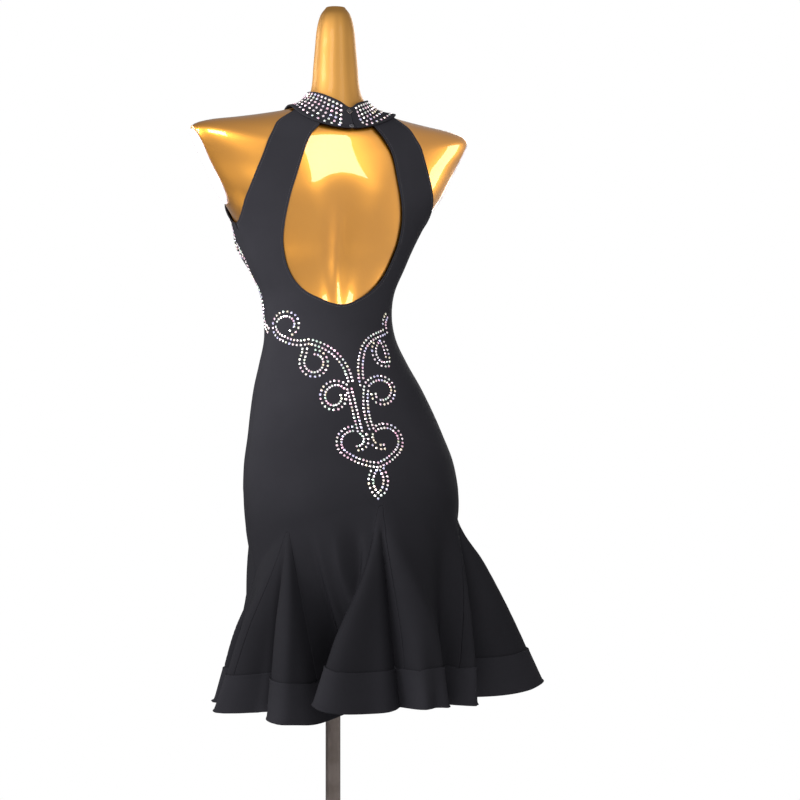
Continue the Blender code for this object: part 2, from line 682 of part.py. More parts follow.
def add_skirt(sheet):
    """Godets and the cloth between them, from the hip level to the hem."""
    groups = row_groups()
    for place, (piece, first, last) in enumerate(groups):
        if piece == "cloth":
            names = column(GODET_COLUMNS, GODETS, "name")
            add_cloth_strip(sheet, names.index(groups[place - 1][0]), first, last)
        else:
            add_godet(sheet, piece, first, last)


def add_cloth_strip(sheet, godet_number, first, last):
    """Cloth from the hip level to the hem, between a godet and the next one."""
    godet = dict(zip(GODET_COLUMNS, GODETS[godet_number]))
    after = dict(zip(GODET_COLUMNS, GODETS[(godet_number + 1) % len(GODETS)]))
    end_angle = after["angle"] if after["angle"] > godet["angle"] else after["angle"] + 360.0
    steps = godet["cloth_columns"]
    columns = []
    for n, place in enumerate(hem_places(first, last, steps)):
        share = n / steps
        angle = godet["angle"] + (end_angle - godet["angle"]) * share
        leaving = godet["point_level"] + (after["point_level"] - godet["point_level"]) * share
        levels = [HIP_LEVEL + (leaving - HIP_LEVEL) * m / YOKE_ROWS for m in range(YOKE_ROWS + 1)]
        points = [cloth_point(level, angle) for level in levels]
        top = points[-1]
        full = godet["folds_full"] + (after["folds_full"] - godet["folds_full"]) * share
        points += [flare_point(top, place, row, full) for row in range(1, FLARE_ROWS + 2)]
        columns.append(points[::-1])
    piece = "back_panel" if -SIDE_SEAM_ANGLE <= godet["angle"] < SIDE_SEAM_ANGLE else "front_panel"
    rows = [list(row) for row in zip(*columns[::-1])]
    sheet.add_grid(rows, piece, band_row=True)


def add_godet(sheet, name, first, last):
    """A cone of cloth from one point, with more columns the wider it gets."""
    godet = [dict(zip(GODET_COLUMNS, row)) for row in GODETS if row[0] == name][0]
    tip = cloth_point(godet["point_level"], godet["angle"])
    steps = len(hem_places(first, last)) - 1
    above = [tip]
    for row in range(1, FLARE_ROWS + 1):
        count = max(LEAST_STEPS, round(steps * (row / FLARE_ROWS) ** STEPS_POWER))
        here = [flare_point(tip, place, row, godet["folds_full"])
                for place in hem_places(first, last, count)][::-1]
        if row == 1:
            sheet.add_grid([here, [tip] * len(here)], name)
        else:
            sheet.stitch(here, above, name)
        above = here
    foot = [hem_curve(place) for place in hem_places(first, last, steps)][::-1]
    sheet.add_grid([foot, above], name, band_row=True)


def make_dress():
    """Every cut piece of the dress but the collar."""
    sheet = Sheet()
    add_back(sheet)
    add_front(sheet)
    add_skirt(sheet)
    normals = sheet.normals()
    for piece in dict.fromkeys(sheet.pieces):
        faces = [face for face, owner in zip(sheet.faces, sheet.pieces) if owner == piece]
        wall_piece(piece, sheet, normals, faces, "black_crepe", 0.0, WALL)
    band = [face for face, inside in zip(sheet.faces, sheet.in_band) if inside]
    band_rise = WALL + SEAM_GAP
    band_sheet = Sheet()
    band_sheet.points, band_sheet.faces = sheet.points, band
    wall_piece("hem_band", band_sheet, normals, band, "black_crepe", band_rise, BAND_WALL)


def make_collar():
    """The stand collar, open at a slit near the centre back."""
    sheet = Sheet()
    start = COLLAR_SLIT_ANGLE + COLLAR_SLIT
    angles = [start + (360.0 - COLLAR_SLIT) * n / COLLAR_COLUMNS for n in range(COLLAR_COLUMNS + 1)]
    rows = []
    for level in COLLAR_LEVELS:
        row = []
        for angle in reversed(angles):
            turn = (angle + 180.0) % 360.0 - 180.0
            fall = COLLAR_DIP * math.exp(-((turn - COLLAR_SLIT_ANGLE) / COLLAR_DIP_SPREAD) ** 2)
            side = math.sin(math.radians(turn))
            fall += COLLAR_TILT * (1.0 - side) + COLLAR_SIDE_FALL * side ** 4
            share = (level - COLLAR_LEVELS[0]) / (COLLAR_LEVELS[-1] - COLLAR_LEVELS[0])
            row.append(cloth_point(level - fall * share + foot_rise(angle) * (1.0 - share), angle))
        rows.append(row)
    sheet.add_grid(rows, "collar")
    normals = sheet.normals()
    wall_piece("collar", sheet, normals, sheet.faces, "black_crepe", 0.0, COLLAR_WALL)


def make_buttons():
    """The round buttons of the collar's closure."""
    for name, level in BUTTON_LEVELS.items():
        rim = BUTTON_THICKNESS * BUTTON_RIM
        button = turned(name, ((0.0, 0.0), (BUTTON_RADIUS - rim, 0.0), (BUTTON_RADIUS, rim),
                               (BUTTON_RADIUS, BUTTON_THICKNESS - rim),
                               (BUTTON_RADIUS - rim, BUTTON_THICKNESS), (0.0, BUTTON_THICKNESS)),
                        BUTTON_SIDES, "black_button")
        normal = figure_normal(level, BUTTON_ANGLE)
        rise = COLLAR_WALL + 2.0 * SEAM_GAP
        button.location = cloth_point(level, BUTTON_ANGLE) + normal * rise
        button.rotation_mode = "QUATERNION"
        button.rotation_quaternion = normal.to_track_quat("Z", "Y")


def cut_flat(mesh_edit, point, normal):
    """Cuts a shoulder by a plane, keeps the side behind it, closes the cut and returns its
    face. Only the form above the underarm is cut, since the plane meets the waist too."""
    shoulders = [face for face in mesh_edit.faces
                 if min(vertex.co.z for vertex in face.verts) > SHOULDER_CUT_FLOOR]
    geometry = list({vertex for face in shoulders for vertex in face.verts})
    geometry += list({edge for face in shoulders for edge in face.edges}) + shoulders
    cut = bmesh.ops.bisect_plane(mesh_edit, geom=geometry, plane_co=point, plane_no=normal,
                                 dist=0.00001, clear_outer=True)
    edges = [item for item in cut["geom_cut"] if isinstance(item, bmesh.types.BMEdge)]
    filled = bmesh.ops.contextual_create(mesh_edit, geom=edges)
    return filled["faces"][0]


def arm_cut_plane(sign):
    """A point and the outward normal of the flat cut at one shoulder."""
    top, foot = SHOULDER_CUT_TOP, SHOULDER_CUT_FOOT
    slope = Vector((top[0] - foot[0], 0.0, top[1] - foot[1])).normalized()
    normal = Vector((slope.z * sign, 0.0, -slope.x))
    return Vector((top[0] * sign, 0.0, top[1])), normal


def make_form():
    """The limbless torso with its neck, cut flat at the shoulders, and the two arm plates."""
    points, faces = [], []
    for level in FORM_LEVELS:
        inset = FORM_EDGE_INSET if level == FORM_LEVELS[0] else 0.0
        for n in range(FORM_COLUMNS):
            point = figure_point(level, 360.0 * n / FORM_COLUMNS, "form_height")
            middle = Vector((section(level)["shift_x"], section(level)["centre_y"], point.z))
            points.append(point + (middle - point).normalized() * inset)
    for low in range(len(FORM_LEVELS) - 1):
        for n in range(FORM_COLUMNS):
            after = (n + 1) % FORM_COLUMNS
            faces.append([low * FORM_COLUMNS + after, low * FORM_COLUMNS + n,
                          (low + 1) * FORM_COLUMNS + n, (low + 1) * FORM_COLUMNS + after])
    last = (len(FORM_LEVELS) - 1) * FORM_COLUMNS
    faces.append([n for n in range(FORM_COLUMNS)])
    faces.append([last + n for n in range(FORM_COLUMNS)][::-1])
    form = solid("dress_form", points, faces, "gold_form", 40.0)
    mesh_edit = bmesh.new()
    mesh_edit.from_mesh(form.data)
    for sign, name in ((1.0, "arm_plate_left"), (-1.0, "arm_plate_right")):
        point, normal = arm_cut_plane(sign)
        face = cut_flat(mesh_edit, point, normal)
        make_arm_plate(name, [vertex.co.copy() for vertex in face.verts], normal)
    bmesh.ops.recalc_face_normals(mesh_edit, faces=mesh_edit.faces[:])
    mesh_edit.to_mesh(form.data)
    mesh_edit.free()
    form.data.set_sharp_from_angle(angle=math.radians(40.0))
    bore_for_pole(form)


def make_arm_plate(name, outline, normal):
    """A thin flat plate on the shoulder's cut, a little smaller than the cut."""
    middle = sum(outline, Vector((0.0, 0.0, 0.0))) / len(outline)
    inner, outer = [], []
    for point in outline:
        reach = (point - middle).length
        edge = middle + (point - middle) * ((reach - ARM_PLATE_MARGIN) / reach)
        inner.append(edge + normal * SEAM_GAP)
        outer.append(edge + normal * (SEAM_GAP + ARM_PLATE_THICKNESS))
    count = len(outline)
    faces = [list(range(count))[::-1], list(range(count, 2 * count))]
    for n in range(count):
        after = (n + 1) % count
        faces.append([n, after, after + count, n + count])
    plate = solid(name, inner + outer, faces, "pearl_plate")
    mesh_edit = bmesh.new()
    mesh_edit.from_mesh(plate.data)
    bmesh.ops.recalc_face_normals(mesh_edit, faces=mesh_edit.faces[:])
    mesh_edit.to_mesh(plate.data)
    mesh_edit.free()


def bore_for_pole(form):
    """A blind bore in the form's underside, which stands on the pole's top."""
    depth_top = POLE_TOP + POLE_FIT
    cutter = turned("pole_bore_cutter", ((0.0, FORM_BOTTOM - 0.05),
                                         (POLE_RADIUS + POLE_FIT, FORM_BOTTOM - 0.05),
                                         (POLE_RADIUS + POLE_FIT, depth_top), (0.0, depth_top)),
                    POLE_SIDES, "steel")
    cutter.hide_render = True
    cutter.display_type = "WIRE"
    cut = form.modifiers.new("pole_bore", "BOOLEAN")
    cut.operation = "DIFFERENCE"
    cut.object = cutter


def make_stand():
    """The pole and its round base, with a socket that the pole stands in."""
    turned("stand_base", ((0.0, 0.0), (BASE_RADIUS - BASE_EDGE, 0.0), (BASE_RADIUS, BASE_EDGE),
                          (BASE_RADIUS, BASE_THICKNESS - BASE_EDGE),
                          (BASE_RADIUS - BASE_EDGE, BASE_THICKNESS),
                          (HUB_RADIUS + BASE_EDGE, BASE_THICKNESS),
                          (HUB_RADIUS, BASE_THICKNESS + BASE_EDGE),
                          (HUB_RADIUS, HUB_HEIGHT - BASE_EDGE / 2.0),
                          (HUB_RADIUS - BASE_EDGE / 2.0, HUB_HEIGHT),
                          (POLE_RADIUS + POLE_FIT, HUB_HEIGHT),
                          (POLE_RADIUS + POLE_FIT, HUB_FLOOR), (0.0, HUB_FLOOR)),
           ROUND_SIDES, "steel")
    foot = HUB_FLOOR + POLE_FIT
    turned("stand_pole", ((0.0, foot), (POLE_RADIUS, foot), (POLE_RADIUS, POLE_TOP),
                          (0.0, POLE_TOP)), POLE_SIDES, "steel")


def main():
    for item in list(bpy.data.objects):
        bpy.data.objects.remove(item, do_unlink=True)
    make_dress()
    make_collar()
    make_buttons()
    make_form()
    make_stand()


main()
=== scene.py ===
"""Looks of the black halter dance dress on its gold dress form.

The tables are those of the CAD source. The cloth is one fine surface made from them, with the
folds that are too small for the solids, and every cut piece is a thin shell on its part of it.
Units are metres, +Z is up, the dress faces -Y. Angles run round the figure in degrees: 0 is the
centre back, 90 the left side (+X), 180 the centre front and -90 the right side (-X).
"""

import math
import random
from collections import namedtuple

import bmesh
import bpy
import numpy as np
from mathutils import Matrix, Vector
from mathutils.bvhtree import BVHTree


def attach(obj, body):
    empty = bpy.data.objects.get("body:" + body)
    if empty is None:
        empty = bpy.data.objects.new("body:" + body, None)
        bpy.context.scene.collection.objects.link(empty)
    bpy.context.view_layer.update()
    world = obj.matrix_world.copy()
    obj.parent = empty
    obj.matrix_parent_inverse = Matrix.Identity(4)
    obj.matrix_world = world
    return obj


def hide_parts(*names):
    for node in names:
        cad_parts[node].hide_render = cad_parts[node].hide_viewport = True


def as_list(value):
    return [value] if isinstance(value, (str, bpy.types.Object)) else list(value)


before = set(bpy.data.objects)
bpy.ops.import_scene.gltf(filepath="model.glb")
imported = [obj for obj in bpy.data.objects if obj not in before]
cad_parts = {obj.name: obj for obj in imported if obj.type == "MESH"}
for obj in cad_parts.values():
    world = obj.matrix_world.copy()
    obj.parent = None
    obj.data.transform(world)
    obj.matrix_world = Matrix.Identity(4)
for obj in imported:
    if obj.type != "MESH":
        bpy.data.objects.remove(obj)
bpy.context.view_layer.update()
MILLI = 1000.0

# Cloth
WALL = 0.0016            # stretch crepe
CLEARANCE = 0.0020       # form to cloth
SEAM_GAP = 0.0003        # between neighbouring pieces
BAND_WALL = 0.0016       # stiffened hem band
BAND_HEIGHT = 0.058
COLLAR_WALL = 0.0022
LIFTS = {"cloth": 0.0003, "hem_band": 0.0006, "collar": 0.0004}    # of the turned-in edges

# Levels of the dress: the surface's own height coordinate, near the height in metres
HIP_LEVEL = 0.845        # bodice above, skirt below
UNDERARM_LEVEL = 1.225
KEYHOLE_LEVEL = 1.112    # lowest point of the back opening
STRAP_TOP = 1.3936
COLLAR_FOOT, COLLAR_TOP = 1.3944, 1.4300
COLLAR_SLIT_ANGLE = -8.0
COLLAR_SLIT = 0.6        # degrees
COLLAR_DIP = 0.005       # fall of the top edge at the closure
COLLAR_DIP_SPREAD = 14.0
COLLAR_TILT = 0.0045     # fall of the top edge at the back, twice this on the right
COLLAR_SIDE_FALL = 0.0065    # further fall of the top edge at both sides
COLLAR_LAP = 0.0019      # rise of the collar's foot over the ends of the straps
COLLAR_LAP_SHARE = 0.22  # part of the collar's height that rises to it
COLLAR_FOOT_LAP = 0.0012     # how far the foot reaches down over them
COLLAR_FOOT_RISE = 0.0052    # how far the foot and the strap under it are drawn up on the left
STRAP_RISE_FROM = 1.370
SIDE_SEAM_ANGLE = 88.0

# Skirt
SKIRT_CENTRE = (-0.014, 0.028)
FLARE_ROWS = 6           # rows of the flares in the CAD source
HEM_SAMPLES = 240        # for measuring lengths along the hem
FLARE_BULGE = 0.006      # how far the flares stand out of straight
PLAIN_REACH = 7          # half rows of the hem, each way, that the plain hem is averaged over

# Form and stand
FORM_BOTTOM = 0.690
FORM_CROWN_FROM = 1.50       # the rows of the form lie closer above this height
FORM_COLUMNS = 200
FORM_ROW = 0.0045
FORM_EDGE_RADIUS = 0.012
NECK_SATIN_SHADE_LEVEL = 1.396    # the form is satin above this height, under the collar, and a darker copy of the gold: painted shade that dims the light it reflects
CUT_TOP, CUT_FOOT = (0.2125, 1.360), (0.1500, 1.240)    # x and z on the flat arm cut
CUT_FLOOR = 1.239
CUT_ROUND = 0.0016
PLATE_THICKNESS = 0.0020
PLATE_MARGIN = 0.0015
# Rings of an arm plate: how far in, in millimetres, and how high, in thicknesses
PLATE_RINGS = ((0, 0), (0, 0.55), (0.1, 0.85), (0.35, 1), (1.5, 1.02), (4, 1.06), (12, 1.12))
PLATE_CROWN = 1.15
POLE_RADIUS, POLE_FIT, POLE_TOP, POLE_EDGE = 0.0110, 0.0004, 0.745, 0.0008
BASE_RADIUS, BASE_THICKNESS, BASE_EDGE = 0.160, 0.010, 0.003
HUB_RADIUS, HUB_HEIGHT, HUB_FLOOR, HUB_FILLET = 0.020, 0.045, 0.005, 0.004
FLOOR_RADIUS, FLOOR_BOTTOM, FLOOR_FACE = 1.40, -0.010, -0.0002

# Closure of the collar: profiles as radius and height, and where they lie as level and angle
FASTENER_PLACE, BUTTON_PLACE = (1.4157, -4.6), (1.3958, -3.2)
FASTENER_SETTING = ((0, 0), (0.005, 0), (0.005, 0.001), (0.0044, 0.0013), (0, 0.0013))
FASTENER_STONE = ((0, 0.001), (0.0042, 0.001), (0.004, 0.0016), (0.0024, 0.0026), (0, 0.0026))
BUTTON_DOME = ((0, 0), (0.0036, 0), (0.0038, 0.0006), (0.0036, 0.0012), (0.0028, 0.0019),
               (0.0014, 0.0023), (0, 0.0024))


def table(columns, rows, scale=None, **options):
    """Rows with named columns. A scale divides their numbers."""
    kind = namedtuple("Row", columns, **options)
    return [kind(*(value / scale for value in row) if scale else row) for row in rows]


# Figure that the dress is cut for, a row for each section, in thousandths. Every section is
# tilted: it has its own height at the side, the back and the front. back_y and front_y are on
# the centre lines.
BODY = table("level side_z back_z front_z shift_x half_width centre_y back_y front_y fullness", (
    (690, 690, 690, 690, -15, 140, 36, 128, -62, 20),
    (740, 740, 740, 740, -16, 147, 37, 136, -64, 20),
    (780, 780, 780, 780, -16, 154.5, 39, 141, -67, 20),
    (824, 824, 824, 824, -16, 159, 39, 142, -68, 20),
    (878, 878, 878, 878, -14, 155, 35, 129, -71, 20),
    (920, 920, 920, 920, -12, 144.5, 26, 109, -76, 20),
    (955, 955, 955, 955, -10, 135, 15, 92, -83, 20),
    (991, 991, 991, 991, -7, 123, 4, 80, -90, 20),
    (1026, 1026, 1026, 1026, -4, 108.5, -6, 66, -96, 20),
    (1062, 1062, 1062, 1062, -1, 96, -12, 55, -98, 20),
    (1098, 1098, 1098, 1098, 1, 93.5, -16, 46, -101, 22),
    (1134, 1134, 1134, 1134, 1, 99, -18, 42, -106, 25),
    (1169, 1169, 1169, 1169, 1, 114.5, -18, 45, -110, 30),
    (1205, 1205, 1205, 1205, 1, 130, -16, 56, -112, 35),
    (1240, 1240, 1240, 1240, 0, 147.5, -12, 65, -108, 30),
    (1275, 1280, 1268, 1268, 0, 176, -9, 68, -99, 10),
    (1310, 1322, 1296, 1292, 0, 199, -6, 69, -89, -40),
    (1335, 1352, 1318, 1312, 0, 216.5, -4, 68, -81, -60),
    (1352, 1369, 1333, 1328, 0, 214.5, -3, 67, -74, -60),
    (1366, 1378, 1345, 1341, 0, 190, -2, 66, -68, -60),
    (1378, 1384, 1355, 1352, 0, 150, 0, 65, -62, -30),
    (1390, 1391, 1363, 1360, 0, 108, 3, 63, -56, 0),
    (1400, 1400, 1371, 1368, 0, 66, 7, 60, -48, 0),
    (1412, 1411, 1386, 1384, 0, 48, 10, 56, -38, 0),
    (1424, 1423, 1403, 1402, 0, 38.5, 11, 51, -30, 0),
    (1440, 1441, 1424, 1424, 0, 34.5, 11, 47, -25, 0),
    (1460, 1463, 1450, 1450, 0, 33, 11, 44, -22, 0),
    (1490, 1490, 1484, 1484, 0, 30.5, 11, 41, -20, 0),
    (1520, 1520, 1518, 1518, 0, 27.5, 11, 38, -17, 0),
    (1540, 1540, 1539.5, 1539.5, 0, 22, 11, 33, -11, 0),
    (1551, 1551, 1550.8, 1550.8, 0, 14, 11, 25, -3, 0),
), MILLI)
FORM_TOP = BODY[-1].level

# Soft forms on the figure: the bust, the seat, the hollow of the back and the spine's groove,
# the nape, the shoulder blades and the armpits. The cloth bridges the hollows between them.
RELIEF = table("angle level form_height cloth_height angle_spread level_spread", (
    (142, 1.205, 0.022, 0.025, 21, 0.044),
    (-142, 1.205, 0.022, 0.025, 21, 0.044),
    (180, 1.205, 0, 0.012, 22, 0.045),
    (32, 0.835, 0.007, 0.007, 20, 0.05),
    (-32, 0.835, 0.007, 0.007, 20, 0.05),
    (0, 0.835, 0, 0.004, 18, 0.05),
    (0, 1.215, -0.006, 0, 11, 0.075),
    (4, 1.195, -0.006, 0, 8, 0.085),
    (0, 1.385, -0.004, 0, 45, 0.05),
    (18, 1.285, 0.0018, 0, 9, 0.04),
    (-17, 1.285, 0.0018, 0, 9, 0.04),
    (124, 1.262, -0.003, 0, 22, 0.02),
    (-124, 1.262, -0.003, 0, 22, 0.02),
))
# The form draws in below the hip, clear of the hanging cloth: level and inset
FORM_TAPER = ((0.690, 0.034), (0.705, 0.026), (0.740, 0.014), (0.780, 0.005), (0.825, 0.0015),
              (0.900, 0.0))
# Half widths of the back opening, and how far its middle lies to the left, in millimetres
KEYHOLE = table("level half_width middle", (
    (1112, 0, 3), (1115, 16, 4), (1120.5, 27.8, 4.6), (1130, 45, 5), (1146, 62, 3.6),
    (1164, 73.1, 2.5), (1182, 79.8, 1.8), (1205, 85.3, 1), (1233, 86.8, 1), (1260, 85.1, 1.2),
    (1285, 82.1, 1), (1315, 77, 0), (1340, 71.1, -1), (1360, 64, -0.6), (1375, 55.6, 0),
    (1393.6, 41.8, -0.8),
), MILLI)
# Distance of the armhole edges from the centre plane, in millimetres
ARMHOLE = table("level back front", (
    (1240, 143, 143), (1262, 142.5, 142), (1280, 140, 134), (1310, 136.8, 117),
    (1335, 130.5, 104), (1352, 124.6, 95), (1366, 117.5, 88), (1378, 107, 82), (1386, 96.2, 77.5),
    (1393.6, 83, 70),
), MILLI)

# Godets, and the distance below each point where the folds have their full shape
GODETS = table("name angle point folds_full", (
    ("godet_side_right", -88.0, 0.722, 0.100),
    ("godet_back_right", -58.0, 0.808, 0.080),
    ("godet_back_centre", 0.0, 0.8285, 0.220),
    ("godet_back_left", 49.0, 0.793, 0.150),
    ("godet_side_left", 88.0, 0.722, 0.090),
    ("godet_front_left", 133.0, 0.800, 0.240),
    ("godet_front_centre", 180.0, 0.812, 0.220),
    ("godet_front_right", 227.0, 0.800, 0.220),
))
GODET_NAMES = [godet.name for godet in GODETS]

# The hem, as (angle, radius, height) of each ridge and hollow in degrees and millimetres about
# the skirt's centre, in order round it from the right side. Cloth lies between two godets.
HEM = (
    ("godet_side_right", ((-118, 222, 546), (-109, 182, 548), (-101, 245, 552))),
    ("cloth", ((-93, 168, 550), (-87, 215, 556))),
    ("godet_back_right", ((-78, 302, 556), (-66, 266, 549), (-52, 234, 544), (-41, 150, 546),
        (-31, 246, 545))),
    ("cloth", ((-21, 228, 546), (-13.5, 180, 550), (-7, 254, 551))),
    ("godet_back_centre", ((2, 240, 549), (11, 204, 545), (22, 246, 551), (34, 238, 563))),
    ("cloth", ((22, 180, 555), (4, 125, 546), (6, 92, 538), (26, 96, 531), (31, 145, 526))),
    ("godet_back_left", ((35, 184, 523), (43, 196, 527), (58, 204, 529), (62, 126, 534),
        (72, 176, 531))),
    ("cloth", ((87, 228, 529), (94, 142, 534))),
    ("godet_side_left", ((105, 212, 532), (112, 160, 534), (121, 212, 534))),
    ("cloth", ((130, 120, 538),)),
    ("godet_front_left", ((139, 218, 536), (148, 172, 538), (157, 220, 538))),
    ("cloth", ((165, 118, 542),)),
    ("godet_front_centre", ((172, 210, 540), (181, 168, 542), (190, 214, 540))),
    ("cloth", ((198, 118, 544),)),
    ("godet_front_right", ((206, 220, 542), (215, 172, 544), (225, 226, 544))),
    ("cloth", ((234, 126, 548),)),
)
HEM_ROWS = np.array([row for _, rows in HEM for row in rows], float)
HEM_TURNS = np.radians(HEM_ROWS[:, 0])
HEM_POINTS = np.stack([SKIRT_CENTRE[0] + HEM_ROWS[:, 1] / MILLI * np.sin(HEM_TURNS),
                       SKIRT_CENTRE[1] + HEM_ROWS[:, 1] / MILLI * np.cos(HEM_TURNS),
                       HEM_ROWS[:, 2] / MILLI], axis=1)
# The same runs of rows, as (piece, first row, last row)
HEM_ENDS = np.cumsum([len(rows) for _, rows in HEM]).tolist()
HEM_RUNS = [(piece, end - len(rows), end - 1) for (piece, rows), end in zip(HEM, HEM_ENDS)]

# Folds too fine for the solids, at a place counted in hem rows: how far the cloth is pushed
# out (a ridge) or in (a hollow), in millimetres, its half width in hem rows, the share of the
# way down where it starts, how far it leans towards its top, in hem rows, and where it ends.
FINE_FOLDS = table("place push width start lean end", (
    (0.9, -12, 0.45, 0.1), (2.1, 9, 0.4, 0.05), (3.2, -10, 0.5, 0.15), (5.2, 6, 0.45, 0.05),
    (6.1, 4, 0.4, 0.25, 0.2), (7.5, -26, 0.75, 0.03), (9.1, 18, 0.36, 0, -0.3),
    (9.75, -52, 0.6, 0, -0.7), (9.45, 6, 0.13, 0.6, 0.3, 0.98), (10.1, 7, 0.12, 0.64, 0.5, 0.97),
    (10.75, 34, 0.6, 0, -1.9), (12.8, -54, 0.5, 0, -0.4), (15.1, 22, 0.85, 0), (16.25, 6, 0.3, 0),
    (17.4, -16, 0.36, 0, 0, 0.6), (18.15, 5, 0.14, 0, 0, 0.52),
    (18.65, -4, 0.12, 0.25, -0.4, 0.75), (19.05, 18, 0.3, 0.03, -0.7),
    (19.75, -12, 0.22, 0.03, -0.5), (20.4, -32, 1, 0, -0.3), (23.35, 20, 0.5, 0, 0.6),
    (25, -36, 0.26, 0), (25.9, -6, 0.15, 0.35, 0.1), (26.3, 5, 0.15, 0.45), (26.65, 10, 0.38, 0),
    (27.9, -12, 0.45, 0.05), (29.1, 8, 0.35, 0.05), (30.2, -10, 0.45, 0.15), (31.2, 8, 0.4, 0.05),
    (32.1, -14, 0.5, 0.05), (33.1, 12, 0.36, 0, 0.3), (34.2, -18, 0.5, 0.04),
    (35.1, 13, 0.42, 0, -0.2), (36, -20, 0.45, 0.03), (36.9, 10, 0.33, 0.02, 0.4),
    (38.1, -19, 0.52, 0.04), (39, 14, 0.38, 0, -0.3), (40.1, -16, 0.48, 0.04),
    (41.05, 12, 0.35, 0, 0.2), (42.2, -20, 0.5, 0.06), (43.1, 10, 0.4, 0.03, -0.4),
    (44, -15, 0.45, 0.05),
), defaults=(0.0, 1.0))

# Fineness of the drawn meshes
CELL = 0.0042            # side of a cloth facet
FRONT_STRETCH = 1.15     # cells to a step up the front, over its bust
FLARE_STEPS = 56         # rows from the godets' points to the hem band
YOKE_STEPS = 20          # rows from the hip level down to the godets' points
BAND_STEPS = 12          # rows in the hem band
SHIN_STEPS = 4           # facets across a godet near its point
WIDENING = 0.85          # power by which a godet's facets get more on the way down
SMOOTHING_ROUNDS = 6     # of the whole cloth surface below the hip
SMOOTHING_TOP = HIP_LEVEL - 0.004
YOKE_ROUNDS = 12         # of the part above this height, which eases the way into the flares
YOKE_FOOT = 0.785
EDGE_ROUND = 0.0004      # how far a rounded edge reaches into the piece
EDGE_SUPPORT = 0.0016    # where the full thickness is reached again
EDGE_SHARE = 0.30        # most of the room beside an edge that its rounding takes
SEAM_DROP = 0.00008      # depth of the groove along a seam
KEYHOLE_EASE = 0.06      # way below the back opening over which its middle eases to the centre
STEP_ANGLE, STEP_LEVEL = 1.0, 0.002      # for measuring directions on the figure
HEM_STEP = 0.05          # for measuring directions along the hem, in hem rows
FINE_STEPS = 400         # samples of a long edge
OPENING_STEPS = 900      # samples of the back opening's edge, to lay the rows of cloth by
STRIP_STEPS = 40         # samples of the hip between two godets
RIDGE_POWER, HOLLOW_POWER = 1.4, 2.0     # of a fine fold's shape: a lower one is sharper
CLOTH_SHARP, FORM_SHARP, TURNED_SHARP = 70.0, 50.0, 40.0     # degrees of a bend shown sharp
FOOT_ROWS = 6            # in the rounded foot of the form
CROWN_ROWS, CROWN_POWER = 22, 1.6        # in its crown, closer together near the top
CROWN_RISE = 0.0004      # of the middle of the crown over its last row
CUT_TOLERANCE = 0.00001
CORNER_SHARE = 0.45      # most of an edge that the rounding of one end takes
POLE_SIDES, BASE_SIDES, FLOOR_SIDES, BUTTON_SIDES = 64, 128, 96, 32
COLLAR_COLUMNS, COLLAR_ROWS = 161, 11
FLARE_AT = [FLARE_ROWS * n / FLARE_STEPS for n in range(FLARE_STEPS + 1)]
BAND_AT = [FLARE_ROWS] + [FLARE_ROWS + n / BAND_STEPS for n in range(1, BAND_STEPS + 1)]

# Camera: level, behind the figure and to its left, turned a little past it
CAMERA_DISTANCE = 2.9
CAMERA_HEIGHT = 0.973
CAMERA_TURN = 20.0
METRES_PER_PIXEL = 0.00148   # at the pole's distance
POLE_PIXEL = 333.0
PICTURE_SIZE = 800.0
SENSOR = 36.0


def smooth_curve(stations, values, at):
    """Cubic curve through (station, value) pairs, held level beyond both ends."""
    stations, values = np.asarray(stations, float), np.asarray(values, float)
    last = len(stations) - 1
    at = np.clip(at, stations[0], stations[-1])
    low = np.clip(np.searchsorted(stations, at, side="right") - 1, 0, last - 1)
    places = np.arange(last + 1)
    before, after = np.maximum(places - 1, 0), np.minimum(places + 1, last)
    slopes = (values[after] - values[before]) / (stations[after] - stations[before])
    span = stations[low + 1] - stations[low]
    t = (at - stations[low]) / span
    return ((2 * t ** 3 - 3 * t ** 2 + 1) * values[low]
            + (t ** 3 - 2 * t ** 2 + t) * span * slopes[low]
            + (3 * t ** 2 - 2 * t ** 3) * values[low + 1]
            + (t ** 3 - t ** 2) * span * slopes[low + 1])


def column(rows, name):
    return [getattr(row, name) for row in rows]


def section(level, name):
    """One of the figure's measures at some levels."""
    return smooth_curve(column(BODY, "level"), column(BODY, name), level)


def unit(vectors):
    """Vectors of length one."""
    length = np.linalg.norm(vectors, axis=-1, keepdims=True)
    return vectors / np.maximum(length, 1e-12)


def lengths_along(trail):
    """Lengths of a trail up to each of its points."""
    return np.concatenate([[0.0], np.cumsum(np.linalg.norm(np.diff(trail, axis=0), axis=1))])


def relief(level, angle, name):
    """Height of the soft forms at places on the figure."""
    total = 0.0
    for form in RELIEF:
        turn = (angle - form.angle + 180.0) % 360.0 - 180.0
        far = (turn / form.angle_spread) ** 2 + ((level - form.level) / form.level_spread) ** 2
        total = total + getattr(form, name) * np.exp(-far)
    return total


def figure_point(level, angle, shape="cloth_height"):
    """Points on the figure, for the form or for the cloth's own smoother shape."""
    level, angle = np.broadcast_arrays(np.asarray(level, float), np.asarray(angle, float))
    at = {name: section(level, name) for name in BODY[0]._fields}
    turn = np.radians(angle)
    side, along = np.sin(turn), np.cos(turn)
    full = 1.0 + at["fullness"] * (1.0 - np.cos(4.0 * turn)) / 2.0
    edge_y = np.where(along > 0.0, at["back_y"], at["front_y"])
    edge_z = np.where(along > 0.0, at["back_z"], at["front_z"])
    out = np.stack([at["half_width"] * side * full,
                    np.abs(edge_y - at["centre_y"]) * along * full, 0.0 * full], axis=-1)
    raised = relief(level, angle, shape)
    if shape == "form_height":
        raised = raised - np.interp(level, *zip(*FORM_TAPER))
    out = out + unit(out) * raised[..., None]
    height = edge_z + (at["side_z"] - edge_z) * side ** 2
    return np.stack([at["shift_x"] + out[..., 0], at["centre_y"] + out[..., 1], height], axis=-1)


